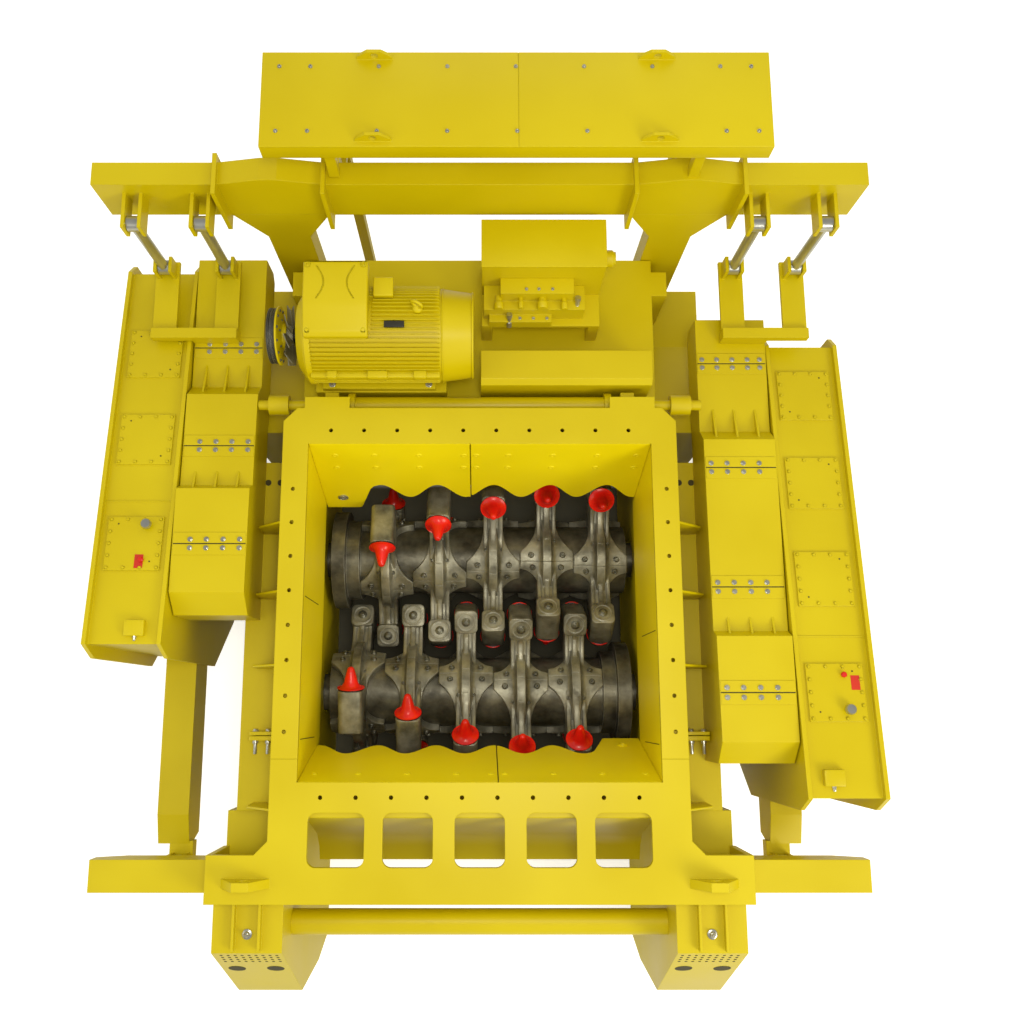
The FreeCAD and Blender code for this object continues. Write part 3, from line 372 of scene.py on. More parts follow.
# Profiles of heads with a radius of 1, scaled to the size of each screw.
WASHER = [(0, 0), (1.3, 0), (1.3, 0.16), (1.2, 0.24), (0, 0.24)]
HEAD = [(0, 0.2), (1, 0.2), (1, 0.8), (0.82, 0.95), (0, 0.95)]
SOCKET_HEAD = [(0, 0), (1.35, 0), (1.35, 0.2), (1, 0.26), (1, 1.05), (0.88, 1.2), (0.52, 1.2),
               (0.46, 0.6), (0, 0.6)]
SUNK_HEAD = [(0, 0), (1, 0), (1, 0.1), (0.86, 0.16), (0.4, 0.16), (0.36, 0.02), (0, 0.02)]
HEAD_TURN = 0.3


def hex_bolt(shape, place, axis, size):
    """Washer and a hexagon head with a chamfered crown; size is half the head's width."""
    shape.turned(place, axis, scaled(WASHER, size), 14)
    shape.turned(place, axis, scaled(HEAD, size), 6, HEAD_TURN)


def socket_screw(shape, place, axis, size):
    """A cylinder head with a round edge and a socket, standing on a washer."""
    shape.turned(place, axis, scaled(SOCKET_HEAD, size), 14)


def sunk_screw(shape, place, size):
    """A countersunk screw: a flush ring with a socket."""
    shape.turned(place, UP, scaled(SUNK_HEAD, size), 12)


def cast(node, start, ray):
    """Where a ray first meets a CAD node: the place and the outward normal."""
    hit, place, normal, _ = frame["nodes"][node].ray_cast(start, ray)
    if not hit:
        raise ValueError(f"the ray from {tuple(start)} misses {node}")
    return place, normal


# A height above the whole machine.
ABOVE = 4.0


def drop(node, x, y):
    """The place and normal straight below (x, y) on a CAD node."""
    return cast(node, at(x, y, ABOVE), -UP)


STRIP_SINK = 0.001


def strip(shape, node, points, wide, high):
    """A thin strip that lies on a CAD node along a row of (x, y) points."""
    rows = []
    for place, (x, y) in enumerate(points):
        before = points[max(place - 1, 0)]
        after = points[min(place + 1, len(points) - 1)]
        way = Vector((after[0] - before[0], after[1] - before[1], 0)).normalized()
        side = Vector((-way.y, way.x, 0)) * wide / 2
        spot, normal = drop(node, x, y)
        side -= normal * side.dot(normal)
        rows.append([spot + side * share + normal * level for share, level in (
            (-1, -STRIP_SINK), (-1, high), (1, high), (1, -STRIP_SINK))])
    shape.skin(rows)


# Rolls: three toothed segments a disc, with an arm, a holder and a red cap on each

ROLL_APART = 0.56
ROLL_HIGH = 0.95
DISC_PITCH = 0.445
DISC_SHIFT = 0.25
HUB_RADIUS = 0.285
GROOVE, RIDGE = 0.338, 0.415
RIDGE_HALF, RIDGE_FOOT = 0.034, 0.078
EDGE_RADIUS = GROOVE + (RIDGE - GROOVE) * 0.08
# A segment's reach ahead of its arm and behind it, and half the gap between two, in degrees.
LEAD, TRAIL, END_GAP = 72, 48, math.degrees(0.001 / GROOVE)
SEGMENT_MIDDLE = (LEAD - TRAIL) / 2
SHOE_STATIONS = 56
SHOE_ROUND = 0.006
SHOE_SPOTS = (0.0, 0.012, 0.034, 0.038, 0.044, 0.052, 0.063, 0.078, 0.12, 0.17, 1.0)
ARM_ARC = 0.42
HOLDER_HALF, HOLDER_MID, HOLDER_LEN = 0.095, 0.63, 0.165
HOLDER_RING = [(0.0, 0.002), (0.064, 0.002), (0.067, 0.007), (0.078, 0.007), (0.081, 0.0)]
HOLDER_WASHER = [(0, 0), (0.036, 0), (0.036, 0.006), (0.033, 0.008), (0, 0.008)]
CAP_LEN = 0.178
CAP_RING = [(0, -0.001), (0.098, -0.001), (0.101, 0.001), (0.101, 0.006), (0.097, 0.0085),
            (0, 0.0085)]
BELL_ANGLES = (-108, -116, -126, -136, -146, -156, -165)
# Each disc's turn in degrees, from the left.
PHASES = {"rear": (16, 33, 48, 62, 56), "front": (14, 31, 47, 57, 51)}


def rim_radius(x):
    """Radius of a shoe at a distance x from the middle of its disc."""
    x = abs(x)
    if x <= RIDGE_HALF:
        return RIDGE
    if x >= RIDGE_FOOT:
        share = (x - RIDGE_FOOT) / (DISC_PITCH / 2 - RIDGE_FOOT)
        return EDGE_RADIUS + (GROOVE - EDGE_RADIUS) * share
    share = (x - RIDGE_HALF) / (RIDGE_FOOT - RIDGE_HALF)
    return RIDGE + (EDGE_RADIUS - RIDGE) * (1 - (1 - share) ** 2) ** 0.5


def shoe_half(across):
    """Half width of a shoe where it is scooped out, across its length from its middle."""
    full = DISC_PITCH / 2 - 0.001
    if across <= -0.267 or across >= 0.279:
        return full
    if across < -0.066:
        return 0.3508 - math.sqrt(0.26 ** 2 - (across + 0.0414) ** 2)
    if across < 0.138:
        return 0.092 - 0.026 * (across + 0.066) / 0.204
    return min(full, 0.223 - math.sqrt(max(0, 0.158 ** 2 - (across - 0.1211) ** 2)))


def polar(x, radius, angle):
    """A point of a segment's frame: angle in degrees from its arm towards its pick."""
    turn = math.radians(angle)
    return Vector((x, -radius * math.sin(turn), radius * math.cos(turn)))


def segment_shoe(shape):
    rows = []
    first = -TRAIL + END_GAP
    for step in range(SHOE_STATIONS + 1):
        angle = first + (LEAD + TRAIL - END_GAP * 2) * step / SHOE_STATIONS
        half = shoe_half(0.37 * math.sin(math.radians(SEGMENT_MIDDLE - angle)))
        spots = [min(x, half - SHOE_ROUND) for x in SHOE_SPOTS]
        right = [(x, rim_radius(x)) for x in spots]
        right += [(half, rim_radius(half) - SHOE_ROUND), (half, HUB_RADIUS - 0.002)]
        left = [(-x, radius) for x, radius in reversed(right[1:])]
        rows.append([polar(x, radius, angle) for x, radius in left + right])
    shape.skin(rows)


def arc(start, end, steps=7):
    """Points along a hollow flank from start to end."""
    start, end = Vector(start), Vector(end)
    chord = end - start
    inward = Vector((-chord.y, chord.x)).normalized()
    centre = (start + end) / 2 + inward * math.sqrt(ARM_ARC ** 2 - (chord.length / 2) ** 2)
    first = math.atan2(*(start - centre).yx)
    sweep = math.atan2(*(end - centre).yx) - first
    sweep = (sweep + math.pi) % math.tau - math.pi
    angles = [first + sweep * step / steps for step in range(steps + 1)]
    return [tuple(centre + Vector((math.cos(a), math.sin(a))) * ARM_ARC) for a in angles]


def segment_arm(shape):
    """A waisted arm with hollow flanks, a keel down its front and a rib down its back."""
    web = arc((-0.262, 0.21), (-0.095, 0.5)) + [(-0.123, 0.63), (0.123, 0.63)]
    web += arc((0.105, 0.5), (0.19, 0.27))
    wing = arc((-0.275, 0.215), (-0.118, 0.5)) + [(-0.135, 0.6), (0.125, 0.6)]
    wing += arc((0.112, 0.5), (0.2, 0.27))
    keel = arc((-0.3, 0.29), (-0.14, 0.535)) + [(-0.14, 0.58), (0.0, 0.58), (0.0, 0.29)]
    rib = [(0.09, 0.58), (0.155, 0.56)] + arc((0.14, 0.5), (0.235, 0.3)) + [(0.09, 0.29)]
    for outline, low, high, bevel in (
            (web, -0.05, 0.05, 0.008), (wing, -0.08, -0.046, 0.010), (wing, 0.046, 0.08, 0.010),
            (keel, -0.024, 0.024, 0.007), (rib, -0.02, 0.02, 0.006)):
        shape.prism(outline, low, high, "x", bevel)


def segment_holder(shape):
    outline = rounded((-HOLDER_HALF, HOLDER_MID - HOLDER_HALF),
                      (HOLDER_HALF, HOLDER_MID + HOLDER_HALF), 0.042, 6)
    shape.prism(outline, -HOLDER_LEN, HOLDER_LEN, "y", 0.012, 3)
    shape.turned((0, HOLDER_LEN - 0.001, HOLDER_MID), Y_WAY, HOLDER_RING, 28)


def segment_screws(shape):
    """Two large screws at each joint, two small ones on each flank, and the holder's bolt."""
    for angle, x, size in (
            (LEAD - 8.5, 0.13, 0.019), (-TRAIL + 8.5, 0.118, 0.019),
            (SEGMENT_MIDDLE + 30, 0.062, 0.012), (SEGMENT_MIDDLE - 31, 0.062, 0.012)):
        for side in (-1, 1):
            foot = polar(x * side, rim_radius(x) - 0.001, angle)
            socket_screw(shape, foot, polar(0, 1, angle), size)
    shape.turned((0, HOLDER_LEN + 0.001, HOLDER_MID), Y_WAY, HOLDER_WASHER, 20)
    hex_bolt(shape, (0, HOLDER_LEN + 0.006, HOLDER_MID), Y_WAY, 0.021)


def cap_profile():
    """A flared foot, a hollow bell and a blunt tip."""
    foot = [(0.0, 0.008), (0.102, 0.008), (0.106, 0.012), (0.106, 0.017)]
    bell = [(0.1246 + 0.075 * math.cos(math.radians(a)), 0.0846 + 0.075 * math.sin(math.radians(a)))
            for a in BELL_ANGLES]
    tip = [(0.045, 0.095), (0.036, 0.13), (0.027, 0.16), (0.02, 0.172), (0.01, CAP_LEN - 0.001),
           (0.0, CAP_LEN)]
    return foot + bell + tip


def pattern(*builders):
    shape = Shape()
    for build in builders:
        build(shape)
    return shape.data("pattern")


def on_holder(profile):
    """A builder that turns a profile out of the holder's front."""
    return lambda shape: shape.turned((0, -HOLDER_LEN, HOLDER_MID), (0, -1, 0), profile, 32)


def copies(data, places):
    """A new shape that holds a pattern once for each matrix in places."""
    shape = Shape()
    for place in places:
        first = len(shape.mesh.verts)
        shape.mesh.from_mesh(data)
        shape.mesh.verts.ensure_lookup_table()
        bmesh.ops.transform(shape.mesh, matrix=place, verts=shape.mesh.verts[first:])
    return shape


def segment_places(name, end):
    """A matrix for each of a roll's segments."""
    places = []
    flip = Matrix.Rotation(math.pi if name == "front" else 0, 4, "Z")
    for place, phase in enumerate(PHASES[name]):
        x = (place - 2 - end * DISC_SHIFT) * DISC_PITCH
        centre = Matrix.Translation(at(x, -end * ROLL_APART, ROLL_HIGH))
        for turn in range(3):
            angle = math.radians((turn * 120 - phase) * -end)
            places.append(centre @ Matrix.Rotation(angle, 4, "X") @ flip)
    return places


def rolls():
    iron = pattern(segment_shoe, segment_arm, segment_holder)
    screws = pattern(segment_screws)
    caps, rings = (pattern(on_holder(profile)) for profile in (cap_profile(), CAP_RING))
    for name, end in (("rear", -1), ("front", 1)):
        places = segment_places(name, end)
        body = f"{name}_roll"
        item = copies(iron, places).piece(f"{name}_toothed_segments", STEEL, body, 32)
        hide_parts(f"{name}_roll_teeth")
        copies(screws, places).piece(f"{name}_segment_screws", SCREW_STEEL, body)
        item = copies(caps, places).piece(f"{name}_pick_caps", RED, body, 50)
        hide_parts(f"{name}_roll_caps")
        copies(rings, places).piece(f"{name}_cap_rings", RUBBER, body)


# Liners of the feed opening

LINER_TOP, LINER_THICK = 2.444, 0.036
LINER_SLOPE = 0.2625
LINER_LOW, WAVE, WAVE_FIRST = 1.611, 0.202, -0.77875
PLATE_LOW, PLATE_BOLT_HIGH = 1.43, 1.61
FEED_HALF = 1.195
LINER_END = 1.249
SEAM_GAP = 0.0035
# Heights of the rows of screws on each sloping liner and the screws' places in x.
SCREW_ROWS = {
    "rear": ((2.277, (-1.076, -0.782, -0.452, -0.117, -0.024, 0.214, 0.545, 0.875, 1.168)),
             (2.095, (-1.088, -0.789, -0.458, -0.121, -0.024, 0.214, 0.545, 0.882, 1.172))),
    "front": ((2.271, (-1.159, -0.852, -0.51, -0.165, 0.079, 0.176, 0.517, 0.858, 1.163)),),
}
LINER_SCREW = [(0.024, -0.001), (0.024, 0.002), (0.021, 0.006), (0.009, 0.006), (0.007, 0.001),
               (0, 0.001)]
PLATE_BOLT = [(0, 0), (0.042, 0), (0.042, 0.006), (0.036, 0.008), (0.032, 0.004), (0.028, 0.004),
              (0.026, 0.012), (0.012, 0.012), (0.01, 0.002), (0, 0.002)]


def wave_level(x):
    if x >= WAVE_FIRST + DISC_PITCH * 4.5:
        return LINER_LOW
    return LINER_LOW + WAVE / 2 * (1 + math.cos(math.tau * (x - WAVE_FIRST) / DISC_PITCH))


def liner_edge():
    """Lower edge of the rear liner, left to right, with its deeper plate at the left end."""
    points = [(-LINER_END, PLATE_LOW), (-0.985, PLATE_LOW), (-0.962, PLATE_LOW + 0.012),
              (-0.866, 1.745), (-0.835, 1.79)]
    x = -0.81
    while x < LINER_END:
        points.append((x, wave_level(x)))
        x += 0.02
    points.append((LINER_END, LINER_LOW))
    return points


def liner_place(end):
    """From (x, height, depth) on a sloping liner to the row frame; depth is away from the feed."""
    start = at(0, end * (FEED_HALF - 2.45 * LINER_SLOPE), 0)
    return Matrix(((1, 0, 0, 0),
                   (0, end * LINER_SLOPE, end, start.y),
                   (0, 1, -LINER_SLOPE, 0),
                   (0, 0, 0, 1)))


def side_liner_seams():
    """Dark lines where the plates of the side liners meet: painted shade in the gaps."""
    for node, side, places in (("left_liner", -1, (0.09, -0.91)),
                               ("right_liner", 1, (-0.155, -0.945))):
        seams = Shape()
        for y in places:
            rows = []
            for level in (1.76, 1.95, 2.15, 2.36):
                spot, normal = cast(node, at(0, y, level), Vector((side, 0, 0)))
                rows.append([spot + Vector((normal.x * out, wide, 0)) for out, wide in (
                    (0, -0.003), (0.001, -0.003), (0.001, 0.003), (0, 0.003))])
            seams.skin(rows)
        seams.piece(f"{node}_seams", GAP_SHADE, slot="yellow_liner")


def waved_liner(name, end, seam):
    """A liner in two plates that meet at the seam, with its screws."""
    shape = Shape()
    edge = [(x * end, level) for x, level in liner_edge()][::end]
    place = liner_place(end)
    for side in (-1, 1):
        cut = seam + SEAM_GAP * side
        part = [p for p in edge if (p[0] - cut) * side > 0]
        level = min(part, key=lambda p: abs(p[0] - cut))[1]
        if side < 0:
            outline = part + [(cut, level), (cut, LINER_TOP), (-LINER_END, LINER_TOP)]
        else:
            outline = [(cut, level)] + part + [(LINER_END, LINER_TOP), (cut, LINER_TOP)]
        shape.prism(outline, 0, LINER_THICK, "z", 0.003, 1, place)
    inward = Vector((0, -end, LINER_SLOPE)).normalized()
    for level, row in SCREW_ROWS[name]:
        for x in row:
            shape.turned(place @ Vector((x, level, 0)), inward, LINER_SCREW, 16)
    item = shape.piece(f"{name}_waved_liner", LINER, smooth=25)
    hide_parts(f"{name}_liner")
    bolt = Shape()
    bolt.turned(place @ Vector((-1.1 * end, PLATE_BOLT_HIGH, 0)), inward, PLATE_BOLT, 24)
    bolt.piece(f"{name}_plate_bolt", ZINC if end > 0 else LINER, slot="yellow_liner")


# Belt guards: bolted seams with a plate on both sides

# Rows of bolts of each guard: y behind the seam, y in front of it and the bolts' places in x.
GUARD_ROWS = {
    "left_belt_guard": (
        (2.045, 1.985, (-2.072, -1.951, -1.831, -1.712)),
        (1.235, 1.172, (-2.067, -1.948, -1.83, -1.71)),
        (0.483, 0.42, (-2.062, -1.946, -1.827, -1.709)),
    ),
    "right_belt_guard": (
        (1.92, 1.856, (1.70, 1.813, 1.93, 2.046, 2.14)),
        (1.075, 1.01, (1.706, 1.823, 1.942, 2.06)),
        (0.188, 0.123, (1.708, 1.826, 1.945, 2.061)),
        (-0.558, -0.625, (1.711, 1.826, 1.944, 2.062)),
    ),
}
SEAM_IN, SEAM_OUT, SEAM_STEPS = 1.666, 2.184, 8
SEAM_WIDE = 0.009
SEAM_PLATE_WIDE, SEAM_PLATE_THICK, SEAM_PLATE_OFF = 0.078, 0.004, 0.043
GUARD_BOLT = 0.0145


def guard_seams():
    for node, rows in GUARD_ROWS.items():
        side = -1 if node.startswith("left") else 1
        steps = [side * (SEAM_IN + (SEAM_OUT - SEAM_IN) * k / SEAM_STEPS)
                 for k in range(SEAM_STEPS + 1)]
        bolts, plates, seams = Shape(), Shape(), Shape()
        for rear, near, places in rows:
            for y in (rear, near):
                for x in places:
                    spot, normal = drop(node, x, y)
                    hex_bolt(bolts, spot + normal * SEAM_PLATE_THICK, normal, GUARD_BOLT)
            middle = (rear + near) / 2
            for y in (middle + SEAM_PLATE_OFF, middle - SEAM_PLATE_OFF):
                strip(plates, node, [(x, y) for x in steps], SEAM_PLATE_WIDE, SEAM_PLATE_THICK)
            # A dark strip along each seam: painted shade in the gap.
            strip(seams, node, [(x, middle) for x in steps], SEAM_WIDE, 0.0015)
        bolts.piece(f"{node}_bolts", ZINC)
        plates.piece(f"{node}_seam_plates", YELLOW, smooth=20)
        seams.piece(f"{node}_seams", GAP_SHADE, smooth=20)


# Gear cases: cover screws, breathers, buttons, bare labels, sensor boxes and a weld

# Places on the cases are (x, y); covers holds the covers' middles and weld the weld's place in y.
CASES = {
    "left_gear_case": {
        "side": -1, "covers": (1.96, 1.26, 0.46), "breather": (-2.389, 0.593),
        "button": (-2.408, 0.338), "label": (-2.427, 0.328), "sensor": (-2.4, -0.15),
        "weld": 0.78},
    "right_gear_case": {
        "side": 1, "covers": (1.64, 0.94, 0.215, -0.59), "breather": (2.5481, -0.71),
        "button": (2.5353, -0.47), "label": (2.614, -0.523), "sensor": (2.395, -1.16),
        "weld": -0.2},
}
CASE_MIDDLE = 2.475
COVER_REACH = 0.178
COVER_SCREW = 0.0105
DOWELS = ((0.7, 0.82), (-0.7, -0.75))
WELD_PLACES = (2.236, 2.35, 2.475, 2.6, 2.714)
LABEL_WIDE, LABEL_HALF = 0.062, 0.05
SENSOR_HALF = Vector((0.07, 0.055, 0))
SENSOR_HIGH = 0.045
BREATHER = [(0, 0), (0.02, 0), (0.02, 0.012), (0.014, 0.014), (0.014, 0.022), (0.034, 0.024),
            (0.036, 0.03), (0.036, 0.052), (0.031, 0.06), (0, 0.062)]
BUTTON = [(0, 0), (0.017, 0), (0.017, 0.014), (0.020, 0.016), (0.020, 0.022), (0.014, 0.029),
          (0, 0.031)]
GLAND = [(0, 0), (0.015, 0), (0.015, 0.014), (0.011, 0.018), (0.011, 0.03), (0.008, 0.036),
         (0, 0.036)]


def cover_screws(node, case):
    screws, marks = Shape(), Shape()
    reach = COVER_REACH
    steps = [reach * (k / 1.5 - 1) for k in range(4)]
    spots = [(a, b) for a in steps for b in (-reach, reach)]
    spots += [(b, a) for a in (-reach / 2, 0, reach / 2) for b in (-reach, reach)]
    middle = CASE_MIDDLE * case["side"]
    for y in case["covers"]:
        for a, b in spots:
            spot, normal = drop(node, middle + a, y + b)
            hex_bolt(screws, spot, normal, COVER_SCREW)
        # Dark dots: painted shade in the dowel holes.
        for a, b in DOWELS:
            spot, normal = drop(node, middle + reach * a * case["side"], y + reach * b)
            marks.turned(spot, normal, disc(0.006, 0.002), 10)
    return screws, marks


def sensor_box(node, place):
    spot, _ = drop(node, *place)
    box = Shape()
    top = spot.z + SENSOR_HIGH
    low, high = spot - SENSOR_HALF, spot + SENSOR_HALF
    box.block((low.x, low.y, spot.z - 0.02), (high.x, high.y, top), 0.006)
    for a in (-0.055, 0.055):
        for b in (-0.04, 0.04):
            sunk_screw(box, (spot.x + a, spot.y + b, top), 0.006)
    box.piece(f"{node}_sensor_box", YELLOW)
    gland = Shape()
    gland.turned((spot.x, low.y + 0.001, spot.z + 0.012), (0, -1, 0), GLAND, 6)
    gland.piece(f"{node}_cable_gland", ZINC)


def case_details():
    for node, case in CASES.items():
        screws, marks = cover_screws(node, case)
        breather, button, label, weld = Shape(), Shape(), Shape(), Shape()
        breather.turned(*drop(node, *case["breather"]), BREATHER, 24)
        breather.piece(f"{node}_breather", ZINC)
        button.turned(*drop(node, *case["button"]), BUTTON, 20)
        button.piece(f"{node}_button", RED_DOT)
        x, y = case["label"]
        points = [(x, y + step) for step in (-LABEL_HALF, 0, LABEL_HALF)]
        strip(label, node, points, LABEL_WIDE, 0.0015)
        label.piece(f"{node}_bare_label", RED_LABEL, smooth=20)
        screws.piece(f"{node}_cover_screws", YELLOW)
        marks.piece(f"{node}_dowel_holes", GAP_SHADE)
        sensor_box(node, case["sensor"])
        strip(weld, node, [(x * case["side"], case["weld"]) for x in WELD_PLACES], 0.012, 0.003)
        weld.piece(f"{node}_weld", YELLOW, smooth=60)


# Canopy behind the beam, in place of the plain cabinet

CANOPY_MID, CANOPY_HALF = 0.23, 1.62
CANOPY_NEAR, CANOPY_FAR = 2.752, 3.416
CANOPY_LOW, CANOPY_TOP = 3.665, 3.8
RISER_HALF, RISER_SEAT = 0.035, 0.005
# Half widths and heights of a lug's outline above the canopy, and its hole.
LUG_FORM = ((0.12, -0.002), (0.105, 0.03), (0.045, 0.075))
LUG_HOLE, LUG_HOLE_HIGH, LUG_THICK = 0.024, 0.036, 0.02
CANOPY_SCREWS = ((3.313, (-1.277, -1.079, -0.643, -0.206, 0.23, 0.665, 1.1, 1.533, 1.73)),
                 (2.86, (-1.285, -1.085, -0.647, -0.204, 0.236, 0.677, 1.552, 1.757)))


def lug(shape, x, y):
    """An upright plate with a round hole on the canopy's top."""
    (foot, foot_z), (waist, waist_z), (crown, crown_z) = LUG_FORM
    outline = [(x - foot, CANOPY_TOP + foot_z), (x + foot, CANOPY_TOP + foot_z),
               (x + waist, CANOPY_TOP + waist_z), (x + crown, CANOPY_TOP + crown_z),
               (x - crown, CANOPY_TOP + crown_z), (x - waist, CANOPY_TOP + waist_z)]
    count = 28
    hole = [(x + LUG_HOLE * math.cos(math.tau * k / count),
             CANOPY_TOP + LUG_HOLE_HIGH + LUG_HOLE * math.sin(math.tau * k / count))
            for k in range(count)]
    edges = []
    for level in (y + FEED_Y, y + LUG_THICK + FEED_Y):
        for loop in (outline, hole):
            verts = [shape.mesh.verts.new((a, level, b)) for a, b in loop]
            edges.append([shape.mesh.edges.new((v, verts[(k + 1) % len(verts)]))
                          for k, v in enumerate(verts)])
    for pair in (edges[:2], edges[2:]):
        bmesh.ops.triangle_fill(shape.mesh, edges=pair[0] + pair[1], use_beauty=True)
    for lower, upper in zip(edges[:2], edges[2:]):
        bmesh.ops.bridge_loops(shape.mesh, edges=lower + upper)


def canopy():
    y0, y1 = CANOPY_NEAR + FEED_Y, CANOPY_FAR + FEED_Y
    x0, x1 = CANOPY_MID - CANOPY_HALF, CANOPY_MID + CANOPY_HALF
    shape = Shape()
    shape.block((x0, y0, CANOPY_LOW), (x1, y1, CANOPY_TOP - 0.004), 0.005)
    for low, high in ((x0 + 0.001, CANOPY_MID + 0.015), (CANOPY_MID + 0.018, x1 - 0.001)):
        shape.block((low, y0 + 0.001, CANOPY_TOP - 0.01), (high, y1 - 0.001, CANOPY_TOP), 0.002)
    for x in (-0.67, 1.13):
        for y in (CANOPY_NEAR + 0.035, CANOPY_FAR - 0.055):
            lug(shape, x, y)
    for x in (-0.98, 1.44):
        for y, under in ((CANOPY_NEAR + 0.1, "rear_beam"), (CANOPY_FAR - 0.08, "cabinet_stand")):
            y += FEED_Y
            shape.block((x - RISER_HALF, y - RISER_HALF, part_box(under)[1][2] - RISER_SEAT),
                        (x + RISER_HALF, y + RISER_HALF, CANOPY_LOW + 0.001), 0.004)
    item = shape.piece("canopy", YELLOW)
    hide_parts("cabinet")
    screws = Shape()
    for y, row in CANOPY_SCREWS:
        for x in row:
            socket_screw(screws, at(x, y, CANOPY_TOP - 0.001), UP, 0.010)
    screws.piece("canopy_screws", ZINC)


# Feet, housing and deck

# The foot's sloping nose, from its top to its low end, as (0, y, z).
NOSE_TOP, NOSE_LOW = Vector((0, -2.344, 2.2)), Vector((0, -2.81, 1.29))
NOSE_OUT = Vector((0, -0.91, 0.466)).normalized()
NOSE_HOLE, NOSE_ROWS, NOSE_COLUMNS = 0.0105, 4, 9
NOSE_PITCH, NOSE_FIRST, NOSE_SHARE = 0.048, 1.78, 0.05
NOSE_MOUTH, NOSE_MOUTH_SHARE = 0.062, 0.38
STUD = [(0, 0), (0.021, 0), (0.021, 0.02), (0.018, 0.023), (0.013, 0.023), (0.013, 0.092),
        (0.010, 0.097), (0, 0.097)]
LEDGE_Z = 1.925
FLANGE_Y, FLANGE_HIGH = (-1.972, -1.722), 2.184
# Rear and near faces of the two clamp flanges, counted in y.
CLAMP_PLATES = ((-0.862, -0.888), (-0.893, -0.925))
CLAMP_X, CLAMP_HIGH = (1.43, 1.655), 2.16
STUD_PLACES, STUD_Z = (1.53, 1.62), 2.09
RIB_PLACES, RIB_HALF = (0.62, 0.12, -0.40, -1.38), 0.008
RIB_OUTLINE = ((1.405, LEDGE_Z), (1.405, 2.425), (1.43, 2.425), (1.64, 2.2), (1.655, LEDGE_Z))


def nose_place(node, x, share):
    """The place and normal on a foot's nose, a share of the way down it."""
    spot = NOSE_TOP.lerp(NOSE_LOW, share)
    return cast(node, at(x, spot.y, spot.z) + NOSE_OUT * 0.2, -NOSE_OUT)


def foot_details(name, side):
    node = f"{name}_front_foot"
    holes, bolt = Shape(), Shape()
    # Rows of dark discs on the nose: painted shade in its holes.
    for row in range(NOSE_ROWS):
        for column in range(NOSE_COLUMNS):
            x = side * (NOSE_FIRST - NOSE_PITCH * column)
            place = nose_place(node, x, NOSE_SHARE * (row + 1))
            holes.turned(*place, disc(NOSE_HOLE, 0.0012), 12)
    # Two large dark discs: painted shade in the nose's mouths.
    for x in (1.733, 1.457):
        holes.turned(*nose_place(node, x * side, NOSE_MOUTH_SHARE), disc(NOSE_MOUTH), 36)
    holes.piece(f"{node}_holes", GAP_SHADE)
    spot, up = drop(node, 1.5975 * side, -2.22)
    for sides, profile in (
            (24, [(0, 0), (0.035, 0), (0.035, 0.006), (0.03, 0.009), (0, 0.009)]),
            (6, [(0, 0.008), (0.022, 0.008), (0.022, 0.026), (0.018, 0.03), (0, 0.03)]),
            (16, [(0, 0.03), (0.011, 0.03), (0.011, 0.048), (0.008, 0.052), (0, 0.052)])):
        bolt.turned(spot, up, profile, sides)
    bolt.piece(f"{node}_bolt", ZINC)


def housing_details(name, side):
    flange, clamp, studs, ribs, holes = Shape(), Shape(), Shape(), Shape(), Shape()
    x0, x1 = sorted((1.847 * side, 1.88 * side))
    near, far = (y + FEED_Y for y in FLANGE_Y)
    flange.prism(rounded((near, LEDGE_Z), (far, FLANGE_HIGH), 0.02), x0, x1, "x", 0.004)
    flange.piece(f"{name}_outrigger_flange", YELLOW)
    x0, x1 = sorted(x * side for x in CLAMP_X)
    for rear, near in CLAMP_PLATES:
        outline = rounded((x0, LEDGE_Z), (x1, CLAMP_HIGH), 0.015)
        clamp.prism(outline, near + FEED_Y, rear + FEED_Y, "y", 0.004)
    for x in STUD_PLACES:
        hex_bolt(studs, at(x * side, CLAMP_PLATES[0][0] + 0.001, STUD_Z), Y_WAY, 0.019)
        studs.turned(at(x * side, CLAMP_PLATES[1][1], STUD_Z), (0, -1, 0), STUD, 18)
    clamp.piece(f"{name}_clamp_flanges", YELLOW)
    studs.piece(f"{name}_clamp_studs", ZINC)
    for y in RIB_PLACES:
        ribs.prism([(x * side, z) for x, z in RIB_OUTLINE],
                   y - RIB_HALF + FEED_Y, y + RIB_HALF + FEED_Y, "y", 0.003)
    ribs.piece(f"{name}_flange_ribs", YELLOW)
    # Dark discs on the side walls: painted shade in the ledge holes.
    for x in (1.64, 1.545):
        holes.turned(*drop(f"{name}_side_wall", x * side, 1.02), disc(0.024), 28)
    holes.piece(f"{name}_ledge_holes", GAP_SHADE)


def deck_well():
    """The folded sloping plate seen through the deck's windows, in front of the front wall."""
    plate = Shape()
    outline = [(-1.425, 2.375), (-1.437, 2.375), (-1.60, 1.86), (-1.70, 1.745), (-1.80, 1.70),
               (-1.80, 1.69), (-1.695, 1.732), (-1.59, 1.852)]
    plate.prism([(y + FEED_Y, z) for y, z in outline], -1.19, 1.19, "x", 0.002)
    plate.piece("deck_well_plate", YELLOW)


# Drive motor: cooling fins, rims, terminal box, eye bolt and its mountings

MOTOR_Y, MOTOR_Z, MOTOR_R = 1.944, 2.65, 0.33
FIN_LEFT, FIN_RIGHT, FIN_BESIDE_BOX = -1.19, -0.275, -0.755
FIN_COUNT, FIN_START, FIN_SWEEP = 47, -72, 252
FIN_HIGH, FIN_HALF, FIN_TAPER = 0.027, 0.0035, 0.012
GRILLE_RADII = (0.06, 0.1, 0.14, 0.18, 0.22, 0.26)
LEDGE_LOW, LEDGE_TOP = 2.735, 2.775
LEDGE_BOSSES = ((-1.04, 0.07), (-0.72, 0.14), (-0.42, 0.09))
SIDE_BOX_TOP = 3.0
BOX_FALL = 0.19


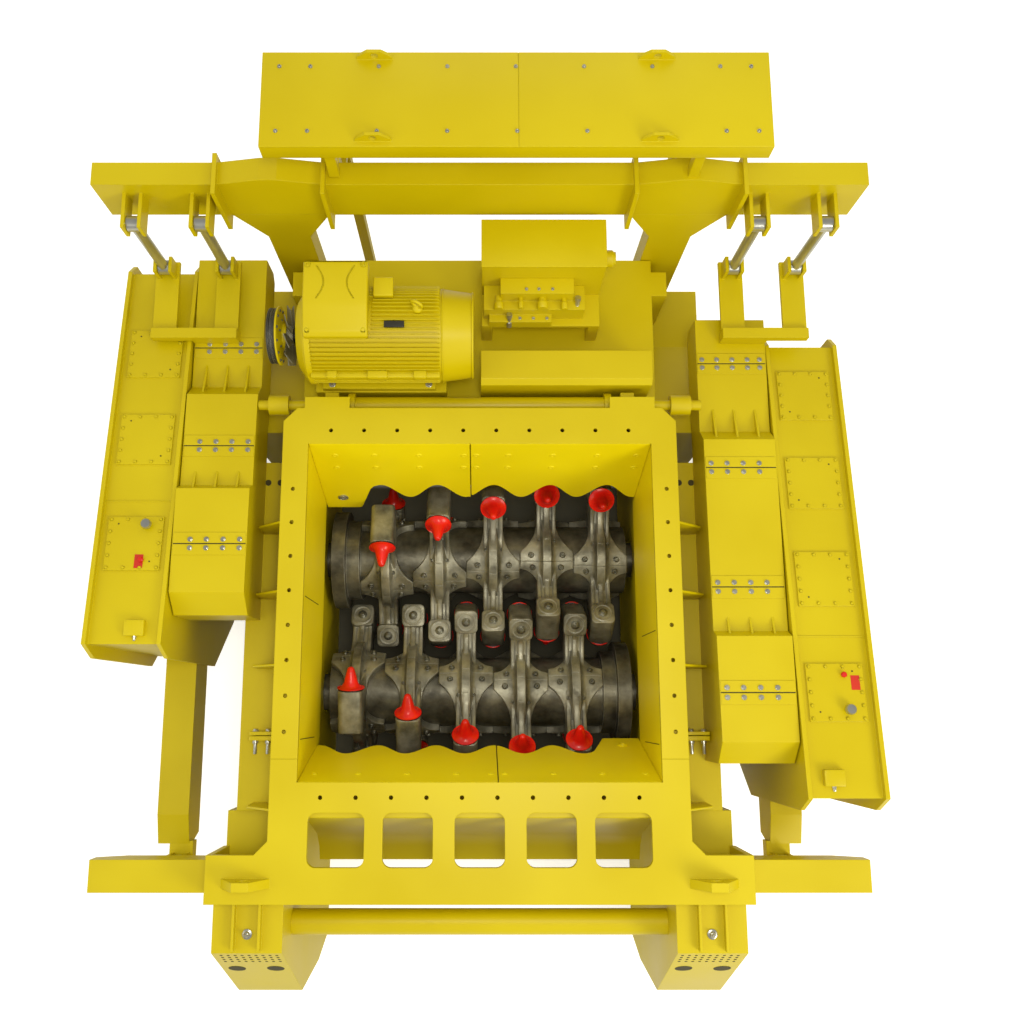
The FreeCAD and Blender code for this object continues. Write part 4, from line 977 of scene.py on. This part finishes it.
def on_shaft(x):
    """A place on the motor's axis."""
    return at(x, MOTOR_Y, MOTOR_Z)


def round_ray(step, count):
    """The ray square to the motor's axis at a step of a full turn."""
    turn = math.tau * step / count
    return Vector((0, math.cos(turn), math.sin(turn)))


def motor_fins():
    fins = Shape()
    for step in range(FIN_COUNT):
        angle = math.radians(FIN_START + FIN_SWEEP * step / (FIN_COUNT - 1))
        ray = Vector((0, math.cos(angle), math.sin(angle)))
        beside_box = -0.30 < ray.y < 0.45 and ray.z > 0.8
        across = Vector((0, -ray.z, ray.y)) * FIN_HALF
        foot = on_shaft(0) + ray * (MOTOR_R - 0.004)
        crown = foot + ray * FIN_HIGH
        rows = []
        for x, taper in ((FIN_BESIDE_BOX if beside_box else FIN_LEFT, -FIN_TAPER),
                         (FIN_RIGHT, FIN_TAPER)):
            rows.append([(x, p.y, p.z) for p in (foot - across, foot + across)]
                        + [(x - taper, p.y, p.z)
                           for p in (crown + across * 0.7, crown - across * 0.7)])
        fins.skin(rows)
    fins.piece("motor_fins", YELLOW, smooth=20)


def motor_rims():
    rims, grille = Shape(), Shape()
    for x, radius, wide in ((-1.222, 0.345, 0.045), (-0.268, 0.338, 0.012)):
        rims.turned(on_shaft(x), X_WAY, [
            (MOTOR_R - 0.02, 0), (radius - 0.005, 0), (radius, 0.005), (radius, wide - 0.005),
            (radius - 0.005, wide), (MOTOR_R - 0.02, wide)], 64)
    rims.turned(on_shaft(-0.058), X_WAY, [
        (0.24, 0.006), (0.296, 0.006), (0.304, 0.0), (0.31, 0.004), (0.308, 0.014),
        (0.296, 0.016), (0.24, 0.012)], 64)
    rims.piece("motor_rims", YELLOW)
    # Dark rings: painted shade in the gaps of the motor's grille.
    for radius in GRILLE_RADII:
        grille.turned(on_shaft(-0.051), X_WAY, [
            (radius, 0), (radius + 0.006, 0), (radius + 0.006, 0.006), (radius, 0.006)], 48)
    grille.piece("motor_grille", GAP_SHADE)


def ring(shape, place, axis, radius, thick, sides=28, round_sides=10):
    """A torus about a slanted axis at place."""
    axis = Vector(axis).normalized()
    along = axis.cross(UP).normalized()
    across = along.cross(axis)
    rows = []
    for step in range(sides):
        turn = math.tau * step / sides
        ray = across * math.cos(turn) + along * math.sin(turn)
        bends = [math.tau * k / round_sides for k in range(round_sides)]
        rows.append([place + ray * (radius + thick * math.cos(bend)) + axis * thick * math.sin(bend)
                     for bend in bends])
    shape.skin(rows, joined=True)


def motor_fittings():
    eye, ledge, plate, bolts = Shape(), Shape(), Shape(), Shape()
    place = at(-0.43, MOTOR_Y + 0.07, MOTOR_Z + MOTOR_R)
    eye.turned(place, UP, [(0, -0.02), (0.036, -0.02), (0.036, 0.03), (0.026, 0.036),
                           (0.014, 0.05), (0, 0.05)], 24)
    ring(eye, place + Vector((0, 0, 0.085)), (0.5, 1, 0), 0.038, 0.011)
    eye.piece("motor_eye_bolt", YELLOW, smooth=60)
    near = MOTOR_Y - 0.31
    ledge.block(at(-1.19, near - 0.045, LEDGE_LOW), at(-0.28, near + 0.03, LEDGE_TOP), 0.006)
    for x, wide in LEDGE_BOSSES:
        ledge.block(at(x - wide / 2, near - 0.055, LEDGE_LOW + 0.007),
                    at(x + wide / 2, near, LEDGE_TOP + 0.025), 0.008)
    ledge.block(at(-0.74, MOTOR_Y + 0.16, 2.93), at(-0.60, MOTOR_Y + 0.30, SIDE_BOX_TOP), 0.012, 3)
    for x in (-0.72, -0.62):
        for y in (0.18, 0.28):
            sunk_screw(ledge, at(x, MOTOR_Y + y, SIDE_BOX_TOP), 0.006)
    ledge.piece("motor_ledge_and_side_box", YELLOW)
    plate.block(at(-0.66, MOTOR_Y - 0.07, 2.99), at(-0.52, MOTOR_Y - 0.025, 3.004), 0.003)
    plate.piece("motor_bare_plate", DARK_PLATE)
    for x in (-1.1, -0.38):
        for y in (-0.265, 0.265):
            hex_bolt(bolts, at(x, MOTOR_Y + y, 2.355), UP, 0.02)
    bolts.piece("motor_foot_bolts", ZINC)


def terminal_box():
    """A box with a sloping lower front, corner bosses and two raised arcs on its lid."""
    box = Shape()
    (x0, y0, z0), (x1, y1, z1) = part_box("motor_terminal_box")
    slope_end = y0 + BOX_FALL
    outline = [(y0 + 0.004, z0 - 0.05), (y0, z1 - 0.075), (y0 + 0.03, z1 - 0.05),
               (slope_end, z1 - 0.012), (slope_end + 0.05, z1), (y1 - 0.012, z1),
               (y1, z1 - 0.012), (y1, z0 - 0.02)]
    box.prism(outline, x0, x1, "x", 0.014, 4)
    for x in (x0 + 0.03, x1 - 0.03):
        for y, z, lean in ((y1 - 0.03, z1, 0), (y0 + 0.045, z1 - 0.052, -0.25)):
            box.turned((x, y, z - 0.012), (0, lean, 1), [
                (0, 0), (0.021, 0), (0.021, 0.013), (0.017, 0.016), (0.012, 0.016),
                (0.011, 0.008), (0, 0.008)], 20)
    for side in (-1, 1):
        rows = []
        for k in range(11):
            x = (x0 + x1) / 2 + side * (0.13 - 0.05 * math.cos((k / 10 - 0.5) * math.pi))
            y = slope_end + 0.06 + 0.024 * k
            rows.append([box.mesh.verts.new((x + dx, y, z1 + dz))
                         for dx, dz in ((-0.006, -0.001), (0, 0.004), (0.006, -0.001))])
        for a, b in zip(rows, rows[1:]):
            for k in range(2):
                box.mesh.faces.new((a[k], a[k + 1], b[k + 1], b[k]))
    item = box.piece("terminal_box", YELLOW)
    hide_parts("motor_terminal_box")


# Coupling on the motor's shaft: a dark pulley, a bolted disc and a cooling fan

PULLEY = [(0, 0), (0.06, 0), (0.06, 0.01), (0.19, 0.01), (0.2, 0.014), (0.2, 0.026), (0.188, 0.034),
          (0.2, 0.042), (0.188, 0.05), (0.2, 0.058), (0.2, 0.068), (0.07, 0.07), (0, 0.07)]
DISC = [(0, 0), (0.208, 0), (0.212, 0.003), (0.212, 0.010), (0.208, 0.014), (0.14, 0.014),
        (0.09, 0.034), (0.085, 0.062), (0, 0.062)]
DISC_BOLTS, DISC_BOLT = 12, 0.009
BLADES, BLADE_STEPS = 9, 5
FAN_PLACE = -1.362
# Corners across a blade, as shares of its width and of its thickness.
BLADE_FORM = ((-1, 1), (0, 1.6), (1, 1), (1, -1), (0, -0.4), (-1, -1))


def coupling():
    body = "motor_coupling"
    steel, disc_plate, bolts, fan = Shape(), Shape(), Shape(), Shape()
    steel.turned(on_shaft(-1.52), X_WAY, PULLEY, 56)
    steel.turned(on_shaft(-1.45), X_WAY, [(0, 0), (0.07, 0), (0.055, 0.13), (0, 0.13)], 32)
    item = steel.piece("coupling_pulley", DARK, body, 30)
    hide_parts("motor_coupling")
    disc_plate.turned(on_shaft(-1.448), X_WAY, DISC, 64)
    disc_plate.piece("coupling_disc", YELLOW, body, 30)
    for step in range(DISC_BOLTS):
        ray = round_ray(step, DISC_BOLTS)
        hex_bolt(bolts, on_shaft(-1.434) + ray * 0.183, X_WAY, DISC_BOLT)
        if step % 2:
            hex_bolt(bolts, on_shaft(-1.427) + ray * 0.112, X_WAY, DISC_BOLT)
    bolts.piece("coupling_bolts", DARK, body)
    for step in range(BLADES):
        ray = round_ray(step, BLADES)
        side = Vector((0, -ray.z, ray.y))
        thick = side.cross(ray) * 0.003
        rows = []
        for k in range(BLADE_STEPS + 1):
            share = k / BLADE_STEPS
            middle = on_shaft(FAN_PLACE) + ray * (0.07 + 0.142 * share)
            edge = side * (0.030 + 0.020 * share) + Vector((0.026 - 0.008 * share, 0, 0))
            rows.append([middle + edge * wide + thick * deep for wide, deep in BLADE_FORM])
        fan.skin(rows)
    fan.turned(on_shaft(-1.385), X_WAY, [
        (0, 0), (0.075, 0), (0.078, 0.004), (0.07, 0.045), (0, 0.045)], 32)
    fan.piece("coupling_fan", FAN_STEEL, body, 40)


# Hydraulic unit: lid, pump, valve cartridges, screws and fittings

# Cartridges of the valve block: x, width and depth below its top.
CARTRIDGES = ((0.14, 0.09, 0.1), (0.3, 0.05, 0.08), (0.46, 0.1, 0.09), (0.62, 0.06, 0.1))
PUMP = [(0, 0), (0.062, 0), (0.062, 0.06), (0.05, 0.075), (0.05, 0.085), (0, 0.085)]
FITTING = [(0, -0.03), (0.022, -0.03), (0.022, 0.0), (0.017, 0.004), (0.017, 0.04), (0.020, 0.044),
           (0.020, 0.09), (0, 0.09)]


def unit_details():
    lid, blocks, screws, fittings = Shape(), Shape(), Shape(), Shape()
    (x0, y0, _), (x1, y1, z1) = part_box("hydraulic_unit")
    lid.block((x0 - 0.004, y0 - 0.006, z1 - 0.012), (x1 + 0.004, y1 + 0.004, z1 + 0.003), 0.004)
    lid.turned((x1 - 0.002, y0 + 0.13, z1 - 0.16), X_WAY, PUMP, 32)
    lid.piece("unit_lid_and_pump", YELLOW)
    (_, near, _), (_, _, top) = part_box("valve_block")
    for x, wide, deep in CARTRIDGES:
        blocks.turned((x, near + 0.05, top - deep), Y_WAY, [
            (0, 0), (wide * 0.36, 0), (wide * 0.4, 0.006), (wide * 0.4, 0.05), (wide * 0.3, 0.055),
            (wide * 0.3, 0.1), (0, 0.1)], 24)
    for x in (0.34, 0.43, 0.53):
        socket_screw(screws, (x, near + 0.165, top), UP, 0.009)
    for x in (0.3, 0.4, 0.5):
        socket_screw(screws, (x, near + 0.03, top - 0.22), UP, 0.009)
    blocks.piece("valve_cartridges", YELLOW)
    screws.piece("valve_screws", ZINC)
    for x, y, deep in ((0.22, near + 0.03, 0.2), (0.72, near + 0.12, 0.1)):
        fittings.turned((x, y, top - deep), (0, -0.5, -1), FITTING, 20)
    fittings.piece("valve_fittings", ZINC)


# Camera, light and floor

# The photo's pixels: its width, its focal length and the machine's middle.
PHOTO_WIDE, PHOTO_FOCUS, PHOTO_MIDDLE = 1024, 1000, 479.7
SENSOR = 36
CAMERA_PLACE = (0.0, FEED_Y - 0.710, 9.5)
CAMERA_TILT = math.radians(11.2)
FLOOR_HALF, FLOOR_LOW, FLOOR_ROUGH, FLOOR_GLOW = 60, -0.002, 0.9, 0.55
# The second tone is the painted shade of the floor under the machine.
FLOOR_TONE, UNDER_SHADE_TONE = (0.86, 0.86, 0.86), (0.07, 0.065, 0.045)
# Painted shade on the floor under the machine: its middle and half its reach in x and y.
UNDER_SHADE = (("X", 0, 1.65), ("Y", FEED_Y - 0.1, 1.6))
WARM, WHITE = (1.0, 0.97, 0.84), (1.0, 1.0, 1.0)
SKY_LIGHT, GLOSSY_LIGHT = 0.82, 0.3
LAMP_AIM = Vector((0, 0, 1.2))
# Name, place, size and power.
LAMPS = (
    ("key_lamp", (7.5, -6.5, 8.5), 4.0, 520),
    ("fill_lamp", (-8.0, -3.0, 7.5), 6.0, 130),
    ("rear_lamp", (1.0, 10.0, 8.0), 6.0, 90),
    ("feed_lamp", (0.4, -0.9, 10.2), 1.6, 210),
)


def camera():
    data = bpy.data.cameras.new("camera")
    data.lens = SENSOR * PHOTO_FOCUS / PHOTO_WIDE
    data.sensor_width = SENSOR
    data.sensor_fit = "HORIZONTAL"
    data.shift_x = (PHOTO_WIDE / 2 - PHOTO_MIDDLE) / PHOTO_WIDE
    data.clip_end = 200
    item = stand("camera", data)
    item.location = CAMERA_PLACE
    item.rotation_euler = (CAMERA_TILT, 0, 0)
    bpy.context.scene.camera = item


def floor():
    """A pale floor that glows for the camera only, with painted shade under the machine, where it
    is dark and does not glow.
    """
    mesh = bpy.data.meshes.new("floor")
    size = FLOOR_HALF
    mesh.from_pydata([(-size, -size, 0), (size, -size, 0), (size, size, 0), (-size, size, 0)],
                     [], [(0, 1, 2, 3)])
    item = stand("floor", mesh)
    item.location.z = FLOOR_LOW
    material, tree, shader = new_material("pale_floor")
    place = add(tree, "NewGeometry").outputs["Position"]
    parts = add(tree, "SeparateXYZ", {"Vector": place})
    inside = []
    for axis, middle, half in UNDER_SHADE:
        away = calculate(tree, "SUBTRACT", parts.outputs[axis], middle)
        away = calculate(tree, "ABSOLUTE", away)
        inside.append(spread(tree, away, half + 0.25, half - 0.1))
    # Painted shade: under the machine the floor is mixed to the dark tone and its glow is taken
    # away.
    dark = calculate(tree, "MULTIPLY", *inside)
    seen = add(tree, "LightPath").outputs["Is Camera Ray"]
    glow = calculate(tree, "MULTIPLY", seen, FLOOR_GLOW)
    glow = calculate(tree, "MULTIPLY", glow, calculate(tree, "SUBTRACT", 1, dark))
    feed(tree, shader["Base Color"], mix(tree, dark, FLOOR_TONE, UNDER_SHADE_TONE))
    feed(tree, shader["Roughness"], FLOOR_ROUGH)
    feed(tree, shader["Emission Color"], WHITE)
    feed(tree, shader["Emission Strength"], glow)
    mesh.materials.append(material)


def sky():
    """A warm world that the camera sees white and glossy surfaces see dim."""
    world = bpy.data.worlds.new("world")
    bpy.context.scene.world = world
    world.use_nodes = True
    tree = world.node_tree
    path = add(tree, "LightPath")
    last = tree.nodes["Background"]
    feed(tree, last.inputs["Color"], WARM)
    feed(tree, last.inputs["Strength"], SKY_LIGHT)
    for kind, strength in (("Is Camera Ray", 1.0), ("Is Glossy Ray", GLOSSY_LIGHT)):
        light = add(tree, "Background", {"Color": WHITE, "Strength": strength})
        seen = path.outputs[kind]
        last = add(tree, "MixShader", {0: seen, 1: last.outputs[0], 2: light.outputs[0]})
    feed(tree, tree.nodes["World Output"].inputs["Surface"], last.outputs[0])


def lamps():
    for name, place, size, power in LAMPS:
        lamp = bpy.data.lights.new(name, "AREA")
        lamp.energy = power
        lamp.size = size
        lamp.color = WARM
        item = stand(name, lamp)
        item.location = place
        item.rotation_euler = (LAMP_AIM - Vector(place)).to_track_quat("-Z", "Y").to_euler()


dress_frame()
rolls()
side_liner_seams()
waved_liner("rear", 1, -0.07)
waved_liner("front", -1, 0.128)
canopy()
guard_seams()
case_details()
for name, side in (("left", -1), ("right", 1)):
    foot_details(name, side)
    housing_details(name, side)
deck_well()
motor_fins()
motor_rims()
motor_fittings()
terminal_box()
coupling()
unit_details()
camera()
floor()
sky()
lamps()
bpy.context.scene.view_settings.view_transform = "Standard"
